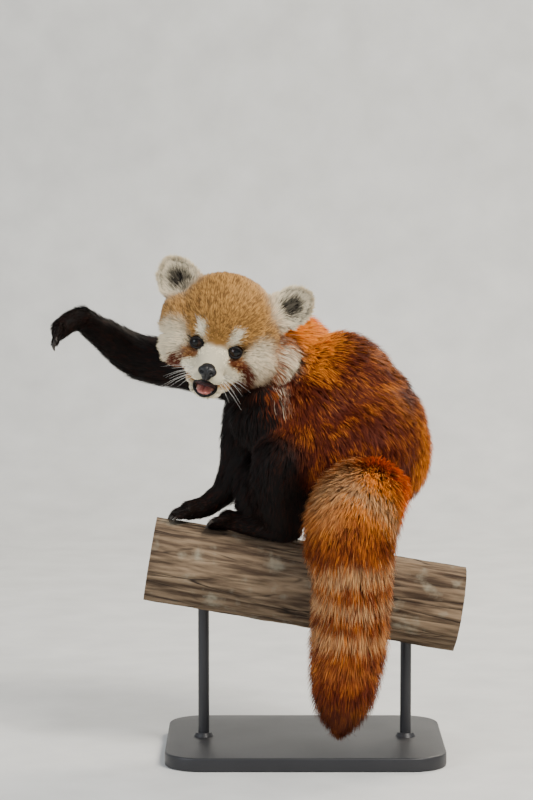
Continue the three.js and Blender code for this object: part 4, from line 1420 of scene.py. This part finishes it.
@dataclass(frozen=True)
class BarkFinish(Finish):
    """Grey-brown bark in long plates, with pale ringed ends."""

    slope: float = 0.0
    height: float = 0.0

    def dress(self, tree: Sock, shader: bpy.types.Node) -> None:
        """Colours bark and sawn ends, and raises the bark's plates."""
        here = tree.node("ShaderNodeTexCoord", output="Object")
        here = tree.node("ShaderNodeVectorMath", {"operation": "SUBTRACT"}, _0=here, _1=(0, 0, self.height))
        along = tree.node("ShaderNodeMapping", _0=here, Rotation=(0, -self.slope, 0))
        times = {"operation": "MULTIPLY"}
        stretched = tree.node("ShaderNodeVectorMath", times, _0=along, _1=(0.12, 1.0, 1.0))
        plates = self.noise(tree, stretched, 150.0, 6.0)
        cracks = tree.node("ShaderNodeTexVoronoi", {"feature": "DISTANCE_TO_EDGE"}, _0=stretched, Scale=75.0)
        lichen = self.noise(tree, along, 38.0, 4.0)
        colour = plates.step(0.32, 0.68).mix((0.055, 0.034, 0.021), (0.25, 0.175, 0.11))
        colour = (lichen.step(0.54, 0.72) * 0.7).mix(colour, (0.30, 0.27, 0.20))
        torn = self.noise(tree, stretched, 60.0, 2.0)
        colour = ((1 - cracks.step(0.0, 0.045)) * torn.step(0.42, 0.6)).mix(colour, (0.020, 0.013, 0.009))
        end = tree.node("ShaderNodeAttribute", {"attribute_name": "sawn"}, "Fac")
        core = tree.node("ShaderNodeVectorMath", times, _0=along, _1=(0.0, 1.0, 1.0))
        round_x = {"wave_type": "RINGS", "rings_direction": "X"}
        rings = tree.node("ShaderNodeTexWave", round_x, 1, _0=core, Scale=75.0, Distortion=1.6)
        wood = rings.mix((0.42, 0.28, 0.16), (0.60, 0.44, 0.28))
        self.link(shader, "Base Color", end.mix(colour, wood))
        height = (plates * 0.7 + cracks.step(0.0, 0.16) * 0.6) * (1 - end)
        self.bump(tree, shader, height, 0.0022, 0.8)


@dataclass(frozen=True)
class PaintFinish(Finish):
    """Dark satin paint with a fine texture."""

    colour: Colour = (0.028, 0.028, 0.031)

    def dress(self, tree: Sock, shader: bpy.types.Node) -> None:
        """Varies the paint a little in colour, gloss and height."""
        grain = self.noise(tree, self.place(tree), 900.0, 2.0)
        cloud = self.noise(tree, self.place(tree), 14.0, 3.0)
        self.link(shader, "Base Color", cloud.mix(self.colour, tuple(c * 1.35 for c in self.colour)))
        self.link(shader, "Roughness", self.roughness + (cloud - 0.5) * 0.12)
        self.bump(tree, shader, grain, 0.00012, 0.5)


@dataclass(frozen=True)
class WhiskerFinish(Finish):
    """White bristles."""

    def dress(self, tree: Sock, shader: bpy.types.Node) -> None:
        """Varies the white a little."""
        cloud = self.noise(tree, self.place(tree), 200.0)
        self.link(shader, "Base Color", cloud.mix((0.70, 0.67, 0.60), (0.92, 0.90, 0.86)))


@dataclass
class Face:
    """The eyes, nose, mouth and whiskers."""

    leather: bpy.types.Material
    lids: bpy.types.Material

    def build(self) -> None:
        """Makes every bare part of the face."""
        eye = EyeFinish("wet dark eye", roughness=0.05, specular=0.15, coat=0.28).material()
        for word, side in (("left", 1), ("right", -1)):
            self.eye(word, side).data.materials.append(eye)
        self.nose().data.materials.append(self.leather)
        self.mouth()
        self.whiskers()

    def eye(self, word: str, side: int) -> bpy.types.Object:
        """Makes an eyeball with a swelling cornea, and its rim of lid.

        Args:
            word: left or right, for the pieces' names.
            side: 1 for the left eye and -1 for the right.

        Returns:
            The eyeball.
        """
        shape = bmesh.new()
        bmesh.ops.create_uvsphere(shape, u_segments=48, v_segments=32, radius=EYE_RADIUS)
        axis = Vector((side * 0.28, -1, 0.06)).normalized()
        gaze = []
        for vert in shape.verts:
            angle = vert.co.angle(axis)
            vert.co *= 1 + 0.05 * max(0.0, 1 - angle / 0.75)
            gaze.append(angle)
            vert.co = on_head((side * EYE_SIDE + vert.co.x, EYE_DEPTH + vert.co.y, vert.co.z))
        mesh = shaded(shape, f"eyeball_{word}")
        set_attribute(mesh, "gaze", np.array(gaze))
        lines = []
        for upper in (1, -1):
            line = []
            for t in np.linspace(0, math.pi, 9):
                x, z = 7.0 * math.cos(t), upper * 5.2 * math.sin(t)
                y = -math.sqrt((EYE_RADIUS + 0.5) ** 2 - x * x - z * z)
                place = on_head((side * EYE_SIDE + x, EYE_DEPTH + y, z))
                line.append((place, (0.6 + 0.7 * math.sin(t)) * MM))
            lines.append(line)
        rim = make_object(f"lids_{word}", strand(f"lids_{word}", lines, 4), Slot.NOSE)
        rim.data.materials.append(self.lids)
        return make_object(f"eyeball_{word}", mesh, Slot.EYE, f"eye_{word}")

    def nose(self) -> bpy.types.Object:
        """The nose pad with its nostrils pressed in."""
        shape = bmesh.new()
        for centre, half in (
            ((0, -39, -18.5), (10.2, 6.2, 6.6)),
            ((0, -37.5, -23.5), (5.6, 5.4, 5.6)),
            ((0, -36, -14.5), (7.2, 5, 4)),
        ):
            place = Matrix.Translation(centre) @ Matrix.Diagonal((*half, 1))
            bmesh.ops.create_icosphere(shape, subdivisions=4, radius=1.0, matrix=Matrix.Scale(MM, 4) @ place)
        mesh = melted(shape, 0.0006, 8)
        points = positions(mesh) / MM
        for side in (1, -1):
            offset = points - np.array([side * 5.4, -44.5, -19.5])
            away = np.linalg.norm(offset / np.array([3.0, 5.0, 2.1]), axis=1)
            points[:, 1] += 2.4 * (1 - smooth(away, 0.15, 1))
        groove = (1 - smooth(np.abs(points[:, 0]), 0.2, 1.1)) * smooth(points[:, 1], -38, -42)
        points[:, 1] += 0.9 * groove
        set_positions(mesh, ((points @ HEAD_AXES.T) + np.array(HEAD_AT)) * MM)
        mesh.shade_smooth()
        return make_object("nose_pad", mesh, Slot.NOSE, "nose")

    def mouth(self) -> None:
        """Makes the lips, the tongue, the lining and the lower teeth."""
        self.lips()
        self.tongue()
        self.lining()
        self.teeth()

    def lips(self) -> None:
        """Black lips round the open mouth."""
        rims = []
        for upper in (1, -1):
            line = []
            for t in np.linspace(0, math.pi, 11):
                x = 12.4 * math.cos(t)
                z = MOUTH_AT[2] + upper * 8.4 * math.sin(t)
                y = -27 - (9 if upper > 0 else 2) * math.sin(t) + 9 * abs(math.cos(t))
                line.append((on_head((x, y, z)), (1.1 + (0.0 if upper > 0 else 0.7) * math.sin(t)) * MM))
            rims.append(line)
        lips = make_object("lips", strand("lips", rims, 4), Slot.NOSE)
        lips.data.materials.append(self.lids)

    def tongue(self) -> None:
        """A pink tongue with a groove."""
        shape = bmesh.new()
        tilt = Matrix.Rotation(math.radians(8), 4, "X")
        place = Matrix.Translation((0, -13, -42.5)) @ tilt @ Matrix.Diagonal((9.4, 17, 4.4, 1))
        bmesh.ops.create_icosphere(shape, subdivisions=5, radius=1.0, matrix=place)
        for vert in shape.verts:
            vert.co.z -= 1.1 * math.exp(-((vert.co.x / 1.3) ** 2)) * (vert.co.z > -45)
            vert.co = on_head(vert.co)
        mesh = shaded(shape, "wet_tongue")
        flesh = LeatherFinish(
            "wet tongue",
            roughness=0.28,
            coat=0.6,
            colour=(0.42, 0.12, 0.10),
            pale=(0.56, 0.24, 0.20),
            pebble=1100.0,
            depth=0.0003,
        )
        make_object("wet_tongue", mesh, Slot.FLESH, "tongue").data.materials.append(flesh.material())

    def lining(self) -> None:
        """The dark inside of the mouth."""
        shape = bmesh.new()
        place = Matrix.Translation((0, -4, -39)) @ Matrix.Diagonal((12.2, 14, 9, 1))
        bmesh.ops.create_icosphere(shape, subdivisions=4, radius=1.0, matrix=place)
        for vert in shape.verts:
            vert.co = on_head(vert.co)
        mesh = shaded(shape, "mouth_lining")
        gum = LeatherFinish(
            "dark mouth lining", roughness=0.35, colour=(0.05, 0.012, 0.012), pale=(0.12, 0.035, 0.03)
        )
        make_object("mouth_lining", mesh, Slot.FLESH).data.materials.append(gum.material())

    def teeth(self) -> None:
        """The lower teeth, with a longer one at each end."""
        foot = -47.5
        rows = []
        for x in (-7.6, -5.0, -3.0, -1.0, 1.0, 3.0, 5.0, 7.6):
            front, tall, thick = (-25.2, 5.2, 1.3) if abs(x) > 6 else (-27.2, 2.6, 0.95)
            y = front + 0.06 * x * x
            rows.append(
                [
                    (on_head((x, y, foot)), thick * MM),
                    (on_head((x, y - 0.3, foot + tall * 0.6)), thick * 0.85 * MM),
                    (on_head((x * 1.02, y, foot + tall)), 0.2 * MM),
                ]
            )
        enamel = HornFinish(
            "tooth enamel", roughness=0.22, coat=0.5, deep=(0.62, 0.57, 0.47), pale=(0.80, 0.77, 0.70)
        ).material()
        make_object("teeth", strand("teeth", rows, 3), Slot.CREAM).data.materials.append(enamel)

    def whiskers(self) -> None:
        """White whiskers from the muzzle and the brows."""
        lines = []
        for side in (1, -1):
            for row in range(3):
                for k in range(3):
                    root = Vector((side * (13 + 2.2 * k), -26 + 5.5 * k, -23 - 3.4 * row))
                    way = Vector((side * (0.85 + 0.1 * k), -0.28 + 0.2 * k, -0.12 - 0.26 * row)).normalized()
                    size = GRAIN.uniform(18, 36)
                    droop = Vector((0, 0, -size * GRAIN.uniform(0.12, 0.3)))
                    points = (root, root + way * size * 0.5 + droop * 0.2, root + way * size + droop)
                    lines.append([(on_head(p), r * MM) for p, r in zip(points, (0.18, 0.13, 0.03))])
            for k in range(3):
                root = Vector((side * (17 + 2 * k), -8, 14 + k))
                points = (root, root + Vector((side * 3, -6, 8)), root + Vector((side * 8, -8, 17)))
                lines.append([(on_head(p), r * MM) for p, r in zip(points, (0.18, 0.13, 0.04))])
        bristle = WhiskerFinish("white whiskers", roughness=0.4).material()
        make_object("whiskers", strand("whiskers", lines, 1), Slot.CREAM).data.materials.append(bristle)


@dataclass
class Claws:
    """The claws of all four feet."""

    def build(self) -> None:
        """Sets a curved claw at each toe's tip."""
        lines = []
        for paw in PAWS:
            under = unit(np.array(paw.under, dtype=float))
            for root, tip, nail in paw.toes():
                way = unit(tip - root)
                start = tip + under * -0.5
                middle = (tip + nail) / 2 + way * 1.6 - under * 1.2
                size = paw.radius * 0.34
                knots = ((start, size), (middle, size * 0.8), (nail, 0.25))
                lines.append([(Vector(place) * MM, radius * MM) for place, radius in knots])
        horn = HornFinish("claw horn", roughness=0.45, specular=0.3).material()
        make_object("claws", strand("claws", lines, 4), Slot.BLACK).data.materials.append(horn)


@dataclass
class Perch:
    """The cut length of branch and the stand that holds it."""

    length: float = 340.0
    radius: float = 46.0
    slope: float = 0.164
    height: float = 183.0
    base: tuple[float, float, float] = (300.0, 230.0, 15.0)
    corner: float = 40.0

    def build(self) -> None:
        """Makes the branch, the base and the rods."""
        self.branch()
        paint = PaintFinish("dark satin paint", roughness=0.42, metallic=0.4).material()
        self.plate().data.materials.append(paint)
        for word in ("left", "right"):
            self.rod(word).data.materials.append(paint)

    def rod(self, word: str) -> bpy.types.Object:
        """Makes a rod of the stand with a collar at its foot.

        Args:
            word: left or right, for the piece's name.

        Returns:
            The rod.
        """
        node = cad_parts[f"stand_rod_{word}"]
        low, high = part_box(f"stand_rod_{word}")
        shape = bmesh.new()
        middle = [(a + b) / 2 for a, b in zip(low, high)]
        for wide, narrow, depth, z in (
            (0.006, 0.006, high[2] - low[2], middle[2]),
            (0.011, 0.0085, 0.0042, 0.0172),
        ):
            place = Matrix.Translation((middle[0], middle[1], z))
            bmesh.ops.create_cone(
                shape, cap_ends=True, segments=48, radius1=wide, radius2=narrow, depth=depth, matrix=place
            )
        mesh = shaded(shape, f"rod_{word}", 40)
        return make_object(f"rod_{word}", mesh, Slot.PAINT, node.name)

    def plate(self) -> bpy.types.Object:
        """The base plate with round corners and softened edges."""
        shape = bmesh.new()
        size = Matrix.Diagonal((*(s * MM for s in self.base), 1))
        lift = Matrix.Translation((0, 0, self.base[2] * MM / 2))
        bmesh.ops.create_cube(shape, size=1.0, matrix=lift @ size)
        upright = [e for e in shape.edges if abs(e.verts[0].co.z - e.verts[1].co.z) > 0.001]
        corner = self.corner * MM
        bmesh.ops.bevel(
            shape, geom=upright, offset=corner, segments=20, profile=0.5, affect="EDGES", material=-1
        )
        rims = [e for e in shape.edges if abs(e.verts[0].co.z - e.verts[1].co.z) < 1e-6]
        bmesh.ops.bevel(shape, geom=rims, offset=2 * MM, segments=4, profile=0.5, affect="EDGES", material=-1)
        return make_object("base_plate", shaded(shape, "base_plate", 35), Slot.PAINT, "stand_base")

    def branch(self) -> None:
        """The branch: ridged bark, knots and sawn ends."""
        shape = bmesh.new()
        bmesh.ops.create_cone(
            shape,
            cap_ends=True,
            cap_tris=False,
            segments=160,
            radius1=self.radius,
            radius2=self.radius,
            depth=self.length,
            matrix=Matrix.Rotation(math.radians(90), 4, "Y"),
        )
        ends = [f for f in shape.faces if len(f.verts) > 4]
        for inset in (1.2, 14.0, 14.0):
            bmesh.ops.inset_region(shape, faces=ends, thickness=inset, use_even_offset=True)
        long = [e for e in shape.edges if abs(e.verts[0].co.x - e.verts[1].co.x) > 10]
        bmesh.ops.subdivide_edges(shape, edges=long, cuts=150, use_grid_fill=True)
        sawn = []
        tilt = Matrix.Rotation(math.atan(self.slope), 4, "Y")
        knots = ((-105, 0.9, 5), (17, 2.6, 3.5), (119, -0.6, 4))
        for vert in shape.verts:
            x, y, z = vert.co
            around = math.hypot(y, z)
            angle = math.atan2(z, y)
            edge = around > self.radius - 0.6
            if edge:
                ridge = math.sin(7 * angle + x / 85) + math.sin(11 * angle - x / 60)
                rough = math.sin(23 * angle + x / 14 + 3 * math.sin(x / 37)) + math.sin(41 * angle - x / 9)
                knot = 0.0
                for at, turn, tall in knots:
                    beside = math.remainder(angle - turn, 2 * math.pi) * self.radius
                    knot += tall * math.exp(-((x - at) ** 2) / 260 - beside**2 / 300)
                low = 1 - max(0.0, math.sin(angle))
                swell = 0.9 * low * ridge + 0.35 * rough - 0.8 + knot * low
                vert.co.y += swell * y / around
                vert.co.z += swell * z / around
            sawn.append(1.0 if abs(x) > self.length / 2 - 0.4 and not edge else 0.0)
            vert.co = (Matrix.Scale(MM, 4) @ Matrix.Translation((0, 0, self.height)) @ tilt) @ vert.co
        mesh = shaded(shape, "branch_bark", 50)
        set_attribute(mesh, "sawn", np.array(sawn))
        slope = math.atan(self.slope)
        height = self.height * MM
        finish = BarkFinish("weathered bark", roughness=0.9, specular=0.25, slope=slope, height=height)
        branch = make_object("branch_bark", mesh, Slot.BARK, "perch_branch")
        branch.data.materials.append(finish.material())


@dataclass
class Studio:
    """The plain floor, backdrop, lights and camera."""

    aim: Vector = field(default_factory=lambda: Vector((-0.0416, 0, 0.383)))
    away: float = 3.0
    rise: float = 5.0
    tall: float = 0.864

    def build(self) -> None:
        """Sets the studio up."""
        self.sweep()
        self.camera()
        for name, place, size, power, colour in (
            ("key", (1.3, -1.5, 2.4), 1.0, 98, (1.0, 0.95, 0.86)),
            ("fill", (-2.2, -1.8, 1.3), 1.5, 34, (0.90, 0.95, 1.0)),
            ("rim", (1.1, 1.5, 1.9), 0.8, 42, (1.0, 0.90, 0.74)),
        ):
            lamp = bpy.data.lights.new(name, "AREA")
            lamp.energy = power
            lamp.size = size
            lamp.color = colour
            light = bpy.data.objects.new(name, lamp)
            bpy.context.scene.collection.objects.link(light)
            light.location = place
            light.rotation_euler = (self.aim - Vector(place)).to_track_quat("-Z", "Y").to_euler()
        world = bpy.data.worlds.new("studio")
        world.use_nodes = True
        sky = world.node_tree.nodes["Background"]
        sky.inputs["Color"].default_value = (0.86, 0.90, 0.96, 1)
        sky.inputs["Strength"].default_value = 0.62
        bpy.context.scene.world = world

    def sweep(self) -> None:
        """A pale floor that rises into a backdrop."""
        shape = bmesh.new()
        profile = [Vector((-4, -3, 0)), Vector((-4, 1.6, 0))]
        for a in np.linspace(0.1, math.pi / 2, 14):
            profile.append(Vector((-4, 1.6 + math.sin(a) * 0.8, 0.8 - math.cos(a) * 0.8)))
        profile.append(Vector((-4, 2.4, 4)))
        verts = [shape.verts.new(p) for p in profile]
        edges = [shape.edges.new(pair) for pair in zip(verts, verts[1:])]
        made = bmesh.ops.extrude_edge_only(shape, edges=edges)
        moved = [item for item in made["geom"] if isinstance(item, bmesh.types.BMVert)]
        bmesh.ops.translate(shape, verts=moved, vec=(8, 0, 0))
        bmesh.ops.recalc_face_normals(shape, faces=shape.faces)
        floor = bpy.data.objects.new("floor", shaded(shape, "floor"))
        bpy.context.scene.collection.objects.link(floor)
        pale = PaintFinish("pale floor", roughness=0.8, specular=0.2, colour=(0.60, 0.60, 0.585))
        floor.data.materials.append(pale.material())

    def camera(self) -> None:
        """The photo's view: level with the animal and a little above."""
        lens = bpy.data.cameras.new("camera")
        lens.sensor_fit = "VERTICAL"
        lens.sensor_height = 24.0
        lens.lens = 24.0 * self.away / self.tall
        eye = bpy.data.objects.new("camera", lens)
        bpy.context.scene.collection.objects.link(eye)
        up = math.radians(self.rise)
        eye.location = self.aim + self.away * Vector((0, -math.cos(up), math.sin(up)))
        eye.rotation_euler = (self.aim - eye.location).to_track_quat("-Z", "Y").to_euler()
        bpy.context.scene.camera = eye


def main() -> None:
    """Builds the whole model and its studio in order."""
    logging.basicConfig(level=logging.INFO, format="%(name)s %(message)s")
    Studio().build()
    Perch().build()
    body = Body()
    body.build()
    markings = Markings()
    skin = Skin(body)
    skin.build()
    light, dark = markings.at(skin.points, skin.normals, skin.shares)
    set_attribute(skin.mesh, "light", light)
    set_attribute(skin.mesh, "dark", np.column_stack([dark, np.full(len(dark), 0.5)]))
    set_attribute(skin.mesh, "along", np.full(len(dark), 0.3))
    under_fur = FurFinish("under-fur", roughness=0.9, specular=0.05, skin=True).material()
    skin.object.data.materials.append(under_fur)
    coat = Coat(skin, markings)
    fur = FurFinish("fur", roughness=0.6, specular=0.12).material()
    for piece in coat.build():
        piece.data.materials.append(fur)
    leather = LeatherFinish(
        "nose leather",
        roughness=0.34,
        specular=0.35,
        coat=0.15,
        colour=(0.005, 0.005, 0.006),
        pale=(0.011, 0.010, 0.012),
    ).material()
    lids = LeatherFinish(
        "black lids and lips",
        roughness=0.5,
        specular=0.2,
        coat=0.08,
        colour=(0.004, 0.003, 0.003),
        pale=(0.010, 0.008, 0.008),
        pebble=900.0,
        depth=0.0002,
    ).material()
    Face(leather, lids).build()
    Claws().build()


if __name__ == "__main__":
    main()
